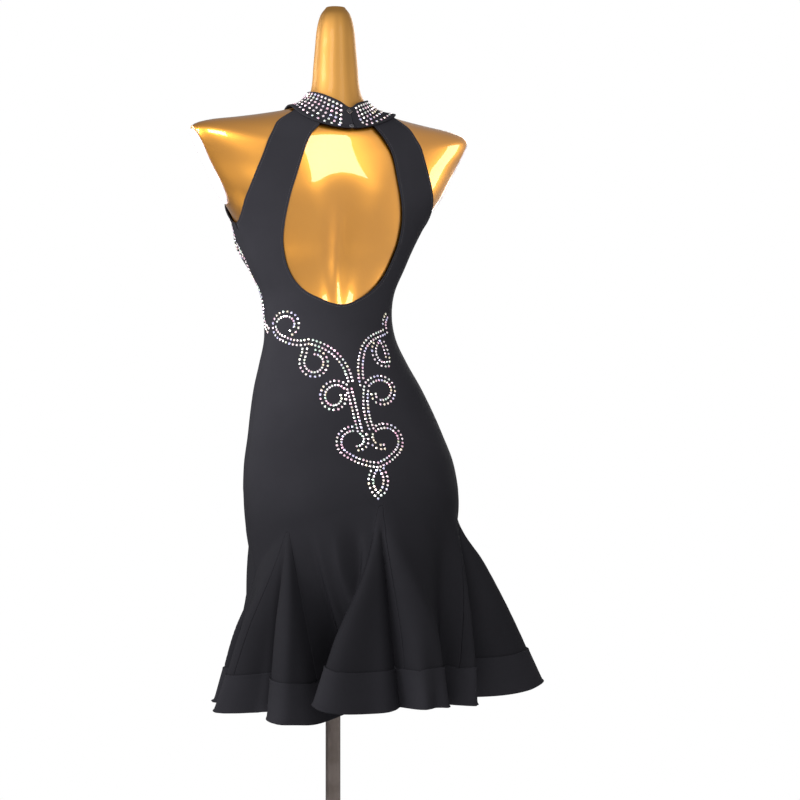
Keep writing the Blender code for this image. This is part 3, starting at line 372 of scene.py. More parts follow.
def figure_normal(level, angle):
    """Outward directions of the cloth's shape."""
    around = (figure_point(level, angle + STEP_ANGLE)
              - figure_point(level, angle - STEP_ANGLE))
    up = figure_point(level + STEP_LEVEL, angle) - figure_point(level - STEP_LEVEL, angle)
    return unit(np.cross(up, around))


def cloth_point(level, angle):
    """Points on the inside of the cloth where it lies on the figure."""
    return figure_point(level, angle) + figure_normal(level, angle) * CLEARANCE


def angle_at_width(level, distance):
    """The angle, from the centre line, where a section is this far from the centre plane."""
    share = distance / section(level, "half_width")
    return np.degrees(np.arcsin(np.minimum(share, math.sin(math.radians(SIDE_SEAM_ANGLE)))))


def keyhole_measure(level, name):
    """A measure of the back opening, smooth against the root of the height above its foot."""
    rise = np.sqrt(np.maximum(np.asarray(level, float) - KEYHOLE_LEVEL, 0.0))
    roots = [math.sqrt(row.level - KEYHOLE_LEVEL) for row in KEYHOLE]
    return smooth_curve(roots, column(KEYHOLE, name), rise)


def keyhole_angle(level, sign):
    """Angle of the back opening's edge on the left, sign 1, or the right, sign -1. Below the
    opening the line between the back's halves eases to the centre."""
    near = np.clip(1.0 - (KEYHOLE_LEVEL - level) / KEYHOLE_EASE, 0.0, 1.0)
    middle = keyhole_measure(level, "middle") * near * near * (3.0 - 2.0 * near)
    return sign * angle_at_width(level, keyhole_measure(level, "half_width") + sign * middle)


def keyhole_levels(count):
    """Levels from the opening's foot up, closer together near it."""
    return KEYHOLE_LEVEL + (STRAP_TOP - KEYHOLE_LEVEL) * np.linspace(0.0, 1.0, count) ** 2


def foot_rise(angle):
    """How far the collar's foot is drawn up, in levels."""
    return COLLAR_FOOT_RISE * np.clip(np.sin(np.radians(angle)), 0.0, 1.0) ** 4


def strap_level(level, angle):
    """Levels of the bodice, drawn up on the left towards the collar's foot."""
    near = np.clip((level - STRAP_RISE_FROM) / (STRAP_TOP - STRAP_RISE_FROM), 0.0, 1.0)
    return level + foot_rise(angle) * near ** 2


def armhole_angle(level, side):
    """Angle of the armhole's edge from the centre back or the centre front."""
    width = smooth_curve(column(ARMHOLE, "level"), column(ARMHOLE, side), level)
    return np.where(level <= UNDERARM_LEVEL, SIDE_SEAM_ANGLE, angle_at_width(level, width))


def hem_curve(at):
    """The closed hem at places counted in rows, a cubic B-spline that the rows draw outwards."""
    at = np.asarray(at, float)
    start = np.floor(at).astype(int)
    t = (at - start)[..., None]
    a, b, c, d = (HEM_POINTS[(start + n) % len(HEM_POINTS)] for n in (-1, 0, 1, 2))
    return (a * (1.0 - t) ** 3 + b * (3.0 * t ** 3 - 6.0 * t ** 2 + 4.0)
            + c * (3.0 * t ** 2 - 3.0 * t ** 3 + 3.0 * t + 1.0) + d * t ** 3) / 6.0


def plain_hem(at):
    """The hem without its folds, a smooth ring that the cloth heads for near the points."""
    steps = range(-PLAIN_REACH, PLAIN_REACH + 1)
    return sum(hem_curve(np.asarray(at, float) + n / 2.0) for n in steps) / len(steps)


def hem_length(first, last):
    """Places along a run of hem rows, and the length of the hem up to each."""
    places = np.linspace(first - 0.5, last + 0.5, HEM_SAMPLES + 1)
    return places, lengths_along(hem_curve(places))


def hem_places(first, last, steps):
    """Places at even lengths along the hem, from half a row before to half a row after."""
    places, lengths = hem_length(first, last)
    found = np.interp(np.linspace(0.0, lengths[-1], steps + 1), lengths, places)
    found[0], found[-1] = places[0], places[-1]
    return found


def outward(place):
    """Level directions away from the plain hem's ring."""
    along = plain_hem(place + HEM_STEP) - plain_hem(place - HEM_STEP)
    return unit(np.stack([-along[..., 1], along[..., 0], 0.0 * along[..., 0]], axis=-1))


def fold_push(place, down):
    """How far the fine folds stand out of the hem's own, rows x places. Ridges are sharper
    than hollows. One that reaches the hem grows on the way, the others fade again."""
    total, around = np.zeros(np.broadcast(place, down).shape), len(HEM_POINTS)
    for fold in FINE_FOLDS:
        turn = place + fold.lean * (1.0 - down) - fold.place
        turn = (turn + around / 2.0) % around - around / 2.0
        power = RIDGE_POWER if fold.push > 0.0 else HOLLOW_POWER
        shape = np.exp(-(np.abs(turn) / fold.width) ** power)
        way = np.clip((down - fold.start) / (fold.end - fold.start), 0.0, 1.0)
        total += fold.push / MILLI * shape * (way if fold.end >= 1.0 else np.sin(np.pi * way) ** 2)
    return total


def flare_points(top, place, folds_full, rows):
    """Points on the way from the hip down to the hem, rows x places. Folds deepen on the way."""
    foot, plain = hem_curve(place), plain_hem(place)
    reach = np.linalg.norm(foot - top, axis=-1)
    share = 1.0 - BAND_HEIGHT / reach
    rows = np.asarray(rows, float)[:, None]
    down = np.where(rows <= FLARE_ROWS, share * rows / FLARE_ROWS,
                    share + (1.0 - share) * (rows - FLARE_ROWS))
    t = np.clip(down * reach / folds_full, 0.0, 1.0)
    aim = plain + (foot - plain) * (t * t * (3.0 - 2.0 * t))[..., None]
    out = (foot - np.array([*SKIRT_CENTRE, 0.0])) * (1.0, 1.0, 0.0)
    bulge = FLARE_BULGE * np.sin(np.pi * rows / (FLARE_ROWS + 1))
    return (top + (aim - top) * down[..., None] + unit(out) * bulge[..., None]
            + outward(place) * fold_push(place, down)[..., None])


def edge_pairs(faces):
    """The directed edges of triangles."""
    return np.concatenate([faces[:, [0, 1]], faces[:, [1, 2]], faces[:, [2, 0]]])


def border_of(faces):
    """Directed edges that only one of the faces has."""
    present = set(map(tuple, edge_pairs(faces).tolist()))
    return np.array([pair for pair in present if (pair[1], pair[0]) not in present])


class Sheet:
    """One surface of triangles that the cut pieces share. Equal corners become one vertex."""

    def __init__(self):
        self.blocks, self.count, self.triangles, self.owners, self.bands = [], 0, [], [], []

    def add_points(self, points):
        points = np.asarray(points, float)
        numbers = self.count + np.arange(points[..., 0].size).reshape(points.shape[:-1])
        self.blocks.append(points.reshape(-1, 3))
        self.count += numbers.size
        return numbers

    def add_faces(self, faces, piece, in_band=False):
        self.triangles.append(np.asarray(faces))
        self.owners += [piece] * len(faces)
        self.bands += [in_band] * len(faces)

    def add_grid(self, rows, piece, in_band=False):
        """Rows run upwards and their points to the right, seen from outside. Each cell is
        split along its shorter diagonal."""
        rows = np.asarray(rows, float)
        numbers = self.add_points(rows)
        low, high = slice(None, -1), slice(1, None)
        corners = (low, low), (low, high), (high, high), (high, low)
        a, b, c, d = (numbers[corner].ravel() for corner in corners)
        at = [rows[corner].reshape(-1, 3) for corner in corners]
        first, second = (np.linalg.norm(at[n] - at[n + 2], axis=1) for n in range(2))
        near = (first <= second)[:, None]
        one = np.where(near, np.stack([a, b, c], 1), np.stack([a, b, d], 1))
        two = np.where(near, np.stack([a, c, d], 1), np.stack([b, c, d], 1))
        self.add_faces(np.concatenate([one, two]), piece, in_band)

    def stitch(self, low, high, piece):
        """A strip of triangles between two rows of different counts, each evenly spaced."""
        low, high = self.add_points(low), self.add_points(high)
        faces, at, above = [], 0, 0
        while at < len(low) - 1 or above < len(high) - 1:
            next_low = (at + 1) / (len(low) - 1) if at < len(low) - 1 else math.inf
            next_high = (above + 1) / (len(high) - 1) if above < len(high) - 1 else math.inf
            if next_low <= next_high:
                faces.append((low[at], low[at + 1], high[above]))
                at += 1
            else:
                faces.append((low[at], high[above + 1], high[above]))
                above += 1
        self.add_faces(faces, piece)

    def weld(self):
        """Merges equal corners and leaves out triangles that have none of their width left."""
        points = np.concatenate(self.blocks)
        _, first, back = np.unique(np.round(points, 6), axis=0, return_index=True,
                                   return_inverse=True)
        self.points = points[first]
        faces = back.reshape(-1)[np.concatenate(self.triangles)]
        whole = (faces != np.roll(faces, 1, axis=1)).all(axis=1)
        self.faces, self.owners, self.bands = (np.array(part)[whole] for part in
                                               (faces, self.owners, self.bands))

    def smooth(self, rounds, part):
        """Evens out the places of a part's vertices. Those on the free border stay."""
        pairs, counts = np.unique(np.sort(edge_pairs(self.faces), axis=1), axis=0,
                                  return_counts=True)
        moving = part.copy()
        moving[pairs[counts == 1].ravel()] = False
        for _ in range(rounds):
            total, count = np.zeros_like(self.points), np.zeros(len(self.points))
            for a, b in ((0, 1), (1, 0)):
                np.add.at(total, pairs[:, a], self.points[pairs[:, b]])
                np.add.at(count, pairs[:, a], 1.0)
            mean = total / count[:, None]
            self.points[moving] += 0.5 * (mean - self.points)[moving]

    def find_normals(self):
        """Directions of the vertices, weighted by the faces' areas."""
        a, b, c = (self.points[self.faces[:, n]] for n in range(3))
        total = np.zeros_like(self.points)
        for n in range(3):
            np.add.at(total, self.faces[:, n], np.cross(b - a, c - a))
        self.normals = unit(total)


def cloth_counts():
    """Columns of the cloth after each godet, enough for its hip and for its hem."""
    counts = {}
    for before, (piece, first, last) in zip(HEM_RUNS, HEM_RUNS[1:]):
        if piece == "cloth":
            start = GODET_NAMES.index(before[0])
            angle = GODETS[start].angle
            span = (GODETS[(start + 1) % len(GODETS)].angle - angle) % 360.0
            trail = cloth_point(HIP_LEVEL, angle + span * np.linspace(0.0, 1.0, STRIP_STEPS))
            longest = max(lengths_along(trail)[-1], hem_length(first, last)[1][-1])
            counts[start] = math.ceil(longest / CELL)
    return counts


def hip_shares(start, end, counts):
    """How far along the hip the columns are, from one godet to another."""
    angles = column(GODETS, "angle") + [360.0 - SIDE_SEAM_ANGLE]
    found = [angles[start]]
    for place in range(start, end):
        steps = np.arange(1, counts[place] + 1) / counts[place]
        found += list(angles[place] + (angles[place + 1] - angles[place]) * steps)
    found = np.array(found)
    return ((found - found[0]) / (found[-1] - found[0]))[None, :]


def add_bodice_grid(sheet, level, angle, piece):
    level = strap_level(level, angle)
    sheet.add_grid(cloth_point(level[:, ::-1], angle[:, ::-1]), piece)


def low_levels():
    """Levels of the bodice from the hip to the foot of the back opening."""
    below = round((KEYHOLE_LEVEL - HIP_LEVEL) / CELL)
    return np.linspace(HIP_LEVEL, KEYHOLE_LEVEL, below + 1)


def add_back(sheet, counts):
    """Both halves of the back, which meet on the centre line below the opening. Rows end at even
    steps along the opening's edge on one side and up the side seam and armhole on the other."""
    fine = keyhole_levels(OPENING_STEPS)
    trail = lengths_along(cloth_point(fine, keyhole_angle(fine, 1.0)))
    above = round(trail[-1] / CELL)
    shares = np.arange(1, above + 1) / above
    inner = np.concatenate([low_levels(), np.interp(trail[-1] * shares, trail, fine)])
    outer = np.concatenate([low_levels(),
                            KEYHOLE_LEVEL + (STRAP_TOP - KEYHOLE_LEVEL) * shares])
    right, centre, left = (GODET_NAMES.index("godet_" + name)
                           for name in ("side_right", "back_centre", "side_left"))
    for start, end, sign in ((right, centre, -1.0), (centre, left, 1.0)):
        share = hip_shares(start, end, counts)
        share = 1.0 - share if sign < 0.0 else share
        near = keyhole_angle(inner, sign)[:, None]
        far = sign * armhole_angle(outer, "back")[:, None]
        add_bodice_grid(sheet, inner[:, None] + (outer - inner)[:, None] * share,
                        near + (far - near) * share, "back_panel")


def add_front(sheet, counts):
    """The front, in one piece from side seam to side seam."""
    share = hip_shares(GODET_NAMES.index("godet_side_left"), len(GODETS), counts)
    above = round((STRAP_TOP - KEYHOLE_LEVEL) / CELL * FRONT_STRETCH)
    levels = np.concatenate([low_levels(), np.linspace(KEYHOLE_LEVEL, STRAP_TOP, above + 1)[1:]])
    reach = np.where(levels <= UNDERARM_LEVEL, 180.0 - SIDE_SEAM_ANGLE,
                     armhole_angle(levels, "front"))
    add_bodice_grid(sheet, levels[:, None], 180.0 + reach[:, None] * (2.0 * share - 1.0),
                    "front_panel")


def add_skirt(sheet, counts):
    """Godets and the cloth between them, from the hip level to the hem."""
    for place, (piece, first, last) in enumerate(HEM_RUNS):
        if piece == "cloth":
            add_cloth_strip(sheet, GODET_NAMES.index(HEM_RUNS[place - 1][0]), first, last, counts)
        else:
            add_godet(sheet, GODETS[GODET_NAMES.index(piece)], first, last)


def add_cloth_strip(sheet, number, first, last, counts):
    """Cloth from the hip level to the hem, between a godet and the next one."""
    share = np.arange(counts[number] + 1) / counts[number]
    before, after = (np.array(GODETS[n % len(GODETS)][1:]) for n in (number, number + 1))
    after[0] += 360.0 * (after[0] <= before[0])
    angle, leaving, full = before[:, None] + (after - before)[:, None] * share
    place = hem_places(first, last, counts[number])
    rows = [cloth_point(HIP_LEVEL + (leaving - HIP_LEVEL) * n / YOKE_STEPS, angle)
            for n in range(YOKE_STEPS + 1)]
    band = flare_points(rows[-1], place, full, BAND_AT)
    rows += list(flare_points(rows[-1], place, full, FLARE_AT[1:]))
    at_back = -SIDE_SEAM_ANGLE <= before[0] < SIDE_SEAM_ANGLE
    piece = "back_panel" if at_back else "front_panel"
    sheet.add_grid(np.array(rows)[::-1, ::-1], piece)
    sheet.add_grid(band[::-1, ::-1], piece, in_band=True)


def add_godet(sheet, godet, first, last):
    """A cone of cloth from one point, with more columns the wider it gets."""
    tip = cloth_point(godet.point, godet.angle)
    steps = math.ceil(hem_length(first, last)[1][-1] / CELL)
    above = None
    for row in FLARE_AT[1:]:
        count = max(SHIN_STEPS, round(steps * (row / FLARE_ROWS) ** WIDENING))
        here = flare_points(tip, hem_places(first, last, count), godet.folds_full, [row])[0][::-1]
        if above is None:
            sheet.add_grid([here, [tip] * len(here)], godet.name)
        else:
            sheet.stitch(here, above, godet.name)
        above = here
    band = flare_points(tip, hem_places(first, last, steps), godet.folds_full, BAND_AT)
    sheet.add_grid(band[::-1, ::-1], godet.name, in_band=True)


# --- shells -----------------------------------------------------------------------------------

def link_object(name, data):
    made = bpy.data.objects.new(name, data)
    bpy.context.scene.collection.objects.link(made)
    return made


def new_object(name, vertices, polygons, sharp_degrees=None, smooth=True):
    """A mesh object from points and faces."""
    mesh = bpy.data.meshes.new(name)
    mesh.from_pydata(np.asarray(vertices, float).tolist(), [], polygons)
    mesh.validate()
    if smooth:
        mesh.shade_smooth()
    if sharp_degrees:
        mesh.set_sharp_from_angle(angle=math.radians(sharp_degrees))
    return link_object(name, mesh)


def turn_to(item, place, direction, axis):
    """Puts an object at a place, with one of its axes along a direction."""
    item.location = Vector(place)
    item.rotation_mode = "QUATERNION"
    item.rotation_quaternion = Vector(direction).to_track_quat(axis, "Y")


def finish_piece(item, look, node=None, slot=None):
    """Gives a piece its material and its body, and hides the CAD part of the node that it stands
    for. Its slot is not used.
    """
    item.data.materials.append(look)
    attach(item, "root")
    if node:
        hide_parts(node)
    return item


def ring_faces(low, high, count):
    """Faces between two closed rings of vertices, numbered from low and from high."""
    return [[low + n, low + (n + 1) % count, high + (n + 1) % count, high + n]
            for n in range(count)]


def inward_steps(sheet, border, faces):
    """For each border vertex, the direction into the piece and the room that it has there."""
    points = sheet.points
    along = unit(points[border[:, 1]] - points[border[:, 0]])
    steps, room = np.zeros_like(points), np.ones(len(points))
    on_edge = np.zeros(len(points), bool)
    on_edge[border.ravel()] = True
    for n in range(2):
        np.add.at(steps, border[:, n], np.cross(sheet.normals[border[:, n]], along))
    one, two = edge_pairs(faces).T
    length = np.linalg.norm(points[one] - points[two], axis=1)
    for end in (one, two):
        here = (on_edge[one] != on_edge[two]) & on_edge[end]
        np.minimum.at(room, end[here], length[here])
    return unit(steps), room


def shell(name, sheet, faces, seam_points, rise, wall, edge_lift):
    """A closed wall on some faces of a surface. Its edges are rounded. Along a seam the outside
    drops into a fine groove, and a free edge, which is turned in and sewn, stands up a little."""
    points, normals = sheet.points, sheet.normals
    border = border_of(faces)
    inward, room = inward_steps(sheet, border, faces)
    used, rim = np.unique(faces), np.unique(border)
    place, rim_place = np.zeros((2, len(points)), int)
    place[used], rim_place[rim] = np.arange(len(used)), np.arange(len(rim))
    on_seam, on_rim = np.zeros((2, len(points), 1), bool)
    on_seam[list(seam_points)], on_rim[rim] = True, True
    fit = np.minimum(1.0, EDGE_SHARE * room / EDGE_SUPPORT)[:, None]
    lift = np.where(on_seam, 0.0, edge_lift)
    drop = np.where(on_seam, SEAM_DROP, EDGE_ROUND * 0.4) * np.sqrt(fit)
    inner = points + np.where(on_rim, inward * EDGE_SUPPORT * fit, 0.0) + normals * rise
    outer = inner + normals * (wall + np.where(on_rim, lift, 0.0))
    near = points + inward * EDGE_ROUND * fit
    rings = (near + normals * (rise + wall + lift - drop),
             points + normals * (rise + (wall + lift - drop) / 2.0), near + normals * rise)
    vertices = np.concatenate([outer[used], inner[used]] + [ring[rim] for ring in rings])
    count = len(used)
    polygons = np.concatenate([place[faces], place[faces][:, ::-1] + count]).tolist()
    chains = [place[border]]
    chains += [2 * count + n * len(rim) + rim_place[border] for n in range(3)]
    chains.append(count + place[border])
    for one, two in zip(chains, chains[1:]):
        polygons += np.stack([one[:, 1], one[:, 0], two[:, 0], two[:, 1]], axis=1).tolist()
    return new_object(name, vertices, polygons, CLOTH_SHARP)


# --- camera -----------------------------------------------------------------------------------

SIDE = math.radians(CAMERA_TURN)
CAMERA_PLACE = np.array([CAMERA_DISTANCE * math.sin(SIDE), CAMERA_DISTANCE * math.cos(SIDE),
                         CAMERA_HEIGHT])
TOWARDS = np.array([-math.sin(SIDE), -math.cos(SIDE), 0.0])
RIGHT = np.array([-math.cos(SIDE), math.sin(SIDE), 0.0])
HALF_PICTURE = PICTURE_SIZE / 2.0
SWING = math.atan((HALF_PICTURE - POLE_PIXEL) * METRES_PER_PIXEL / CAMERA_DISTANCE)
AXIS = TOWARDS * math.cos(SWING) + RIGHT * math.sin(SWING)
AXIS_RIGHT = RIGHT * math.cos(SWING) - TOWARDS * math.sin(SWING)
FOCAL_PIXELS = CAMERA_DISTANCE / METRES_PER_PIXEL


def picture_ray(x, y):
    """Direction from the camera through a place in the picture, in pixels."""
    return unit(AXIS * FOCAL_PIXELS + AXIS_RIGHT * (x - HALF_PICTURE)
                + np.array([0.0, 0.0, 1.0]) * (HALF_PICTURE - y))


def make_camera():
    data = bpy.data.cameras.new("camera")
    data.sensor_width = SENSOR
    data.lens = SENSOR * FOCAL_PIXELS / PICTURE_SIZE
    camera = link_object("camera", data)
    turn_to(camera, CAMERA_PLACE, AXIS, "-Z")
    bpy.context.scene.camera = camera


# --- materials --------------------------------------------------------------------------------

CREPE_TONES = ((0.3, (0.0114, 0.0111, 0.0133)), (0.7, (0.0138, 0.0134, 0.0160)))
# Lightness of the bodice's crepe, the skirt's and the hem band's. The skirt's lower lightness is
# painted shade. The hem band's is partly painted shade, darker than the bodice, and partly its own
# cloth, lighter than the skirt around it.
CREPE_LIGHTNESS, SKIRT_SHADE_LIGHTNESS, BAND_SHADE_LIGHTNESS = 1.04, 0.54, 0.68
SKIRT_SHADE_FADE = (0.700, 1.050)     # heights between which the skirt's darker cloth, which is painted shade, turns to the bodice's
STONE_TINTS = ((0.00, (0.86, 0.80, 0.84)), (0.26, (0.92, 0.52, 0.70)),
               (0.46, (0.92, 0.90, 0.86)), (0.64, (0.62, 0.80, 0.70)),
               (0.76, (0.95, 0.80, 0.58)), (0.90, (0.66, 0.64, 0.90)))
# Two-toned finishes: scale, detail and stretch of the clouds and of the fine grain, both
# tones, which of the two makes the polish uneven and how far, and how strong the grain is
FINISHES = table("name clouds dark light polished_by polish grain strength fixed", (
    ("gold_plating", (6.0, 4.0), (0.72, 0.300, 0.030), (0.77, 0.338, 0.042), "clouds",
     (0.32, 0.37), (240.0, 2.0), 0.02,
     dict(Metallic=1.0, Coat_Weight=1.0, Coat_Roughness=0.03, Coat_IOR=1.65)),
    # The neck's satin gold is rougher, which is real, and a darker copy of the plating's colour,
    # which is painted shade.
    ("gold_satin", (6.0, 4.0), (0.40, 0.205, 0.050), (0.45, 0.230, 0.058), "clouds",
     (0.50, 0.56), (240.0, 2.0), 0.02,
     dict(Metallic=1.0, Coat_Weight=0.05, Coat_Roughness=0.03, Coat_IOR=1.65)),
    ("pearl_finish", (30.0, 4.0), (0.62, 0.57, 0.60), (0.74, 0.69, 0.71), "clouds",
     (0.28, 0.38), (1500.0, 1.0), 0.05, dict(Metallic=0.45, Coat_Weight=0.4, Coat_Roughness=0.1)),
    ("brushed_steel", (40.0, 5.0), (0.115, 0.095, 0.085), (0.165, 0.138, 0.126), "grain",
     (0.22, 0.42), (900.0, 3.0, (1.0, 1.0, 0.02)), 0.06, dict(Metallic=1.0)),
    ("black_moulding", (500.0, 3.0), (0.010, 0.010, 0.012), (0.022, 0.021, 0.026), "clouds",
     (0.14, 0.26), None, 0.0, dict(Coat_Weight=0.5, Coat_Roughness=0.05)),
    ("black_thread", (2500.0, 1.0), (0.018, 0.018, 0.021), (0.040, 0.040, 0.046), "clouds",
     (0.35, 0.55), None, 0.0, {}),
    ("pale_floor", (4.0, 5.0), (0.80, 0.80, 0.80), (0.84, 0.84, 0.84), None, None, None, 0.0,
     dict(Roughness=0.6)),
))
GRAIN_DEPTH = 0.0002


def fill(tree, made, **inputs):
    """Fixed values and links on a node's inputs, named with _ for each space."""
    for name, value in inputs.items():
        socket = made.inputs[name.replace("_", " ")]
        if isinstance(value, bpy.types.NodeSocket):
            tree.links.new(value, socket)
        else:
            socket.default_value = (*value, 1.0) if socket.type == "RGBA" else value


def add_node(tree, kind, setting=None, **inputs):
    """A shader node, with a setting as (name, value)."""
    made = tree.nodes.new("ShaderNode" + kind)
    if setting:
        setattr(made, *setting)
    fill(tree, made, **inputs)
    return made


def texture(tree, kind, output, stretch=(1.0, 1.0, 1.0), **inputs):
    """The output of a texture on object coordinates."""
    place = add_node(tree, "TexCoord").outputs["Object"]
    spread = add_node(tree, "Mapping", Vector=place, Scale=stretch).outputs["Vector"]
    return add_node(tree, "Tex" + kind, Vector=spread, **inputs).outputs[output]


def noise(tree, scale, detail, stretch=(1.0, 1.0, 1.0)):
    return texture(tree, "Noise", "Fac", stretch, Scale=scale, Detail=detail)


def ramp(tree, source, stops):
    """A colour ramp over a texture's value."""
    made = add_node(tree, "ValToRGB", Fac=source)
    elements = made.color_ramp.elements
    while len(elements) < len(stops):
        elements.new(0.5)
    for element, (at, colour) in zip(elements, stops):
        element.position = at
        element.color = (*colour, 1.0)
    return made.outputs["Color"]


def span(tree, source, low, high):
    """A texture's value, 0 to 1, taken to low to high."""
    return add_node(tree, "MapRange", Value=source, To_Min=low, To_Max=high).outputs["Result"]


def add_bumps(tree, shader, *layers):
    """Bump layers of (source, strength, distance) on a shader, one over the other."""
    for n, (source, strength, distance) in enumerate(layers):
        made = add_node(tree, "Bump", Height=source, Strength=strength, Distance=distance)
        if n:
            fill(tree, made, Normal=before)
        before = made.outputs["Normal"]
    fill(tree, shader, Normal=before)


def new_material(name):
    made = bpy.data.materials.new(name)
    made.use_nodes = True
    return made, made.node_tree, made.node_tree.nodes["Principled BSDF"]


def finish(name):
    """A two-toned finish, with uneven polish and a fine grain."""
    at = next(row for row in FINISHES if row.name == name)
    made, tree, shader = new_material(name)
    textures = {"clouds": noise(tree, *at.clouds)}
    tone = ramp(tree, textures["clouds"], ((0.3, at.dark), (0.7, at.light)))
    fill(tree, shader, Base_Color=tone, **at.fixed)
    if at.grain:
        textures["grain"] = noise(tree, *at.grain)
        add_bumps(tree, shader, (textures["grain"], at.strength, GRAIN_DEPTH))
    if at.polish:
        fill(tree, shader, Roughness=span(tree, textures[at.polished_by], *at.polish))
    return made


def crepe_material(name, lightness, skirt_shade_lightness):
    """Stretch crepe: a matt pebbled knit with fine ribs and slight unevenness. On the skirt its
    colour is
    darker, fading in below a height: painted shade for the light falling off down the dress."""
    made, tree, shader = new_material(name)
    patches, fibres = noise(tree, 9.0, 3.0), noise(tree, 900.0, 2.0)
    pebbles = texture(tree, "Voronoi", "Distance", Scale=1300.0)
    ribs = texture(tree, "Wave", "Fac", Scale=260.0, Distortion=1.2, Detail_Scale=3.0)
    place = add_node(tree, "TexCoord").outputs["Object"]
    # Painted shade: the skirt takes the same tones darkened, fading to the bodice's between two
    # heights.
    height = add_node(tree, "MapRange", ("interpolation_type", "SMOOTHSTEP"),
                      Value=add_node(tree, "SeparateXYZ", Vector=place).outputs["Z"],
                      From_Min=SKIRT_SHADE_FADE[0], From_Max=SKIRT_SHADE_FADE[1])
    skirt, bodice = (ramp(tree, patches, [(at, tuple(value * share for value in tone))
                                          for at, tone in CREPE_TONES])
                     for share in (skirt_shade_lightness, lightness))
    blend = add_node(tree, "Mix", ("data_type", "RGBA"), Factor=height.outputs["Result"],
                     A=skirt, B=bodice)
    fill(tree, shader, Base_Color=blend.outputs["Result"],
         Roughness=span(tree, fibres, 0.62, 0.80), Specular_IOR_Level=0.015,
         Sheen_Weight=0.005, Sheen_Roughness=0.40, Sheen_Tint=(0.80, 0.80, 1.0))
    add_bumps(tree, shader, (pebbles, 0.20, 0.0003), (ribs, 0.06, 0.0002))
    return made


def stone_material():
    """Cut crystal with a foiled back and a rainbow coat. Its tint changes by the stone."""
    made, tree, shader = new_material("foiled_crystal")
    cells = texture(tree, "Voronoi", "Color", Scale=150.0)
    pick = add_node(tree, "SeparateColor", Color=cells).outputs
    fill(tree, shader, Base_Color=ramp(tree, pick["Red"], STONE_TINTS),
         Roughness=span(tree, pick["Green"], 0.10, 0.24), Metallic=0.75, Coat_Weight=0.6,
         Coat_Roughness=0.03)
    return made


# --- stones -----------------------------------------------------------------------------------

# Trails that run on round the sides to the front armholes: angle and level of each turn
SIDE_TRAILS = {
    "side_trail": ((86, 1.075), (97, 1.084), (101, 1.1), (99, 1.12), (103, 1.14), (109, 1.155),
        (107, 1.175), (111, 1.195), (118, 1.208), (116, 1.226), (121, 1.246)),
    "side_trail_curl": ((101, 1.1), (108, 1.098), (112, 1.106), (111, 1.117), (106, 1.119)),
    "side_trail_upper_curl": ((111, 1.195), (119, 1.19), (124, 1.198), (123, 1.21)),
}
SWING_STEPS, CURL_STEPS, TRAIL_STEPS = 24, 48, 12
STONE_RADIUS = 0.0018
STONE_PITCH = 0.0056
STONE_ROWS_APART = 0.0068
STONE_SPACING = 0.0042
STONE_SIDES = 8
STONE_RINGS = ((0.00, 1.00), (0.16, 1.02), (0.62, 0.56))    # height and radius, in radii
STONE_FACET_RING = 1
STONE_SINK = 0.00012
STONE_LEAN = 0.07
STONE_SIZES = (0.94, 1.06)
COLLAR_STONE_RADIUS = 0.0020
COLLAR_STONE_PITCH = 0.0074
COLLAR_STONE_SHARES = np.linspace(0.09, 0.86, 6)
COLLAR_BARE = (-21.0, 10.0)      # angles of the closure, left bare
RANDOM_SEED = 11


def swing(start, end, rise):
    """An arc between two points, with this rise to the left of travel."""
    start, end = np.array(start), np.array(end)
    left = np.array([end[1] - start[1], start[0] - end[0]]) / np.linalg.norm(end - start)
    t = np.linspace(0.0, 1.0, SWING_STEPS)[:, None]
    return start + (end - start) * t + left * rise * 4.0 * t * (1.0 - t)


def curl(centre, radii, turns):
    """A spiral about a centre. Picture heights run downwards."""
    turn, radius = np.radians(np.linspace(*turns, CURL_STEPS)), np.linspace(*radii, CURL_STEPS)
    return np.stack([centre[0] + radius * np.cos(turn), centre[1] - radius * np.sin(turn)], 1)


# The back ornament is ordinary scrollwork, composed of swings (start, end, rise of the arc to
# the left of travel) and curls (centre, first and last radius, first and last turn in degrees,
# anticlockwise from the right). All are in picture pixels, laid on the cloth from the camera.
SCROLLS = {
    "left_stem": ((swing, (360, 431), (349.5, 389), 0),),
    "left_branch": ((swing, (350.7, 381), (309, 341.4), -9),
        (swing, (309, 341.4), (286.5, 340), 2), (curl, (287, 325), (14, 8.6), (258, -62))),
    "left_hook": ((swing, (304.5, 345), (302.5, 357.5), 1),
        (curl, (314.5, 362.5), (12.8, 10.5), (160, 447))),
    "left_middle_curl": ((curl, (335, 397), (15, 8.5), (45, 372)),),
    "right_middle_curl": ((curl, (381, 392.5), (16, 7.5), (148, -168)),),
    "right_stem": ((swing, (371.4, 428.6), (366.4, 387), 2.8),),
    "right_branch": ((swing, (362.5, 385), (362.9, 350), 2.2),
        (swing, (362.9, 350), (379.3, 334.3), 2.7), (swing, (379.3, 334.3), (386, 331), 0),
        (swing, (386, 331), (386.5, 315.7), 2)),
    "right_drop": ((swing, (378.5, 339), (379.5, 362.5), -5),
        (swing, (379.5, 362.5), (388, 364), -1)),
    "right_drop_side": ((swing, (380.5, 339), (388, 361), 1.5),),
    "left_lobe": ((curl, (352, 443), (14.5, 12.3), (72, 228)),
        (swing, (344, 452.5), (374, 464.5), -2)),
    "left_lobe_end": ((curl, (358, 440), (8.6, 8.2), (62, -92)),),
    "right_lobe": ((curl, (384.5, 442), (16.3, 16), (128, -48)),
        (swing, (395, 454), (379.5, 464.5), 1)),
    "right_lobe_end": ((curl, (382, 435.5), (11.5, 11.5), (172, 282)),),
    "leaf_left": ((swing, (377, 466), (379.7, 497), -7.5),),
    "leaf_right": ((swing, (379.5, 466), (380.6, 495), 5.8),),
}


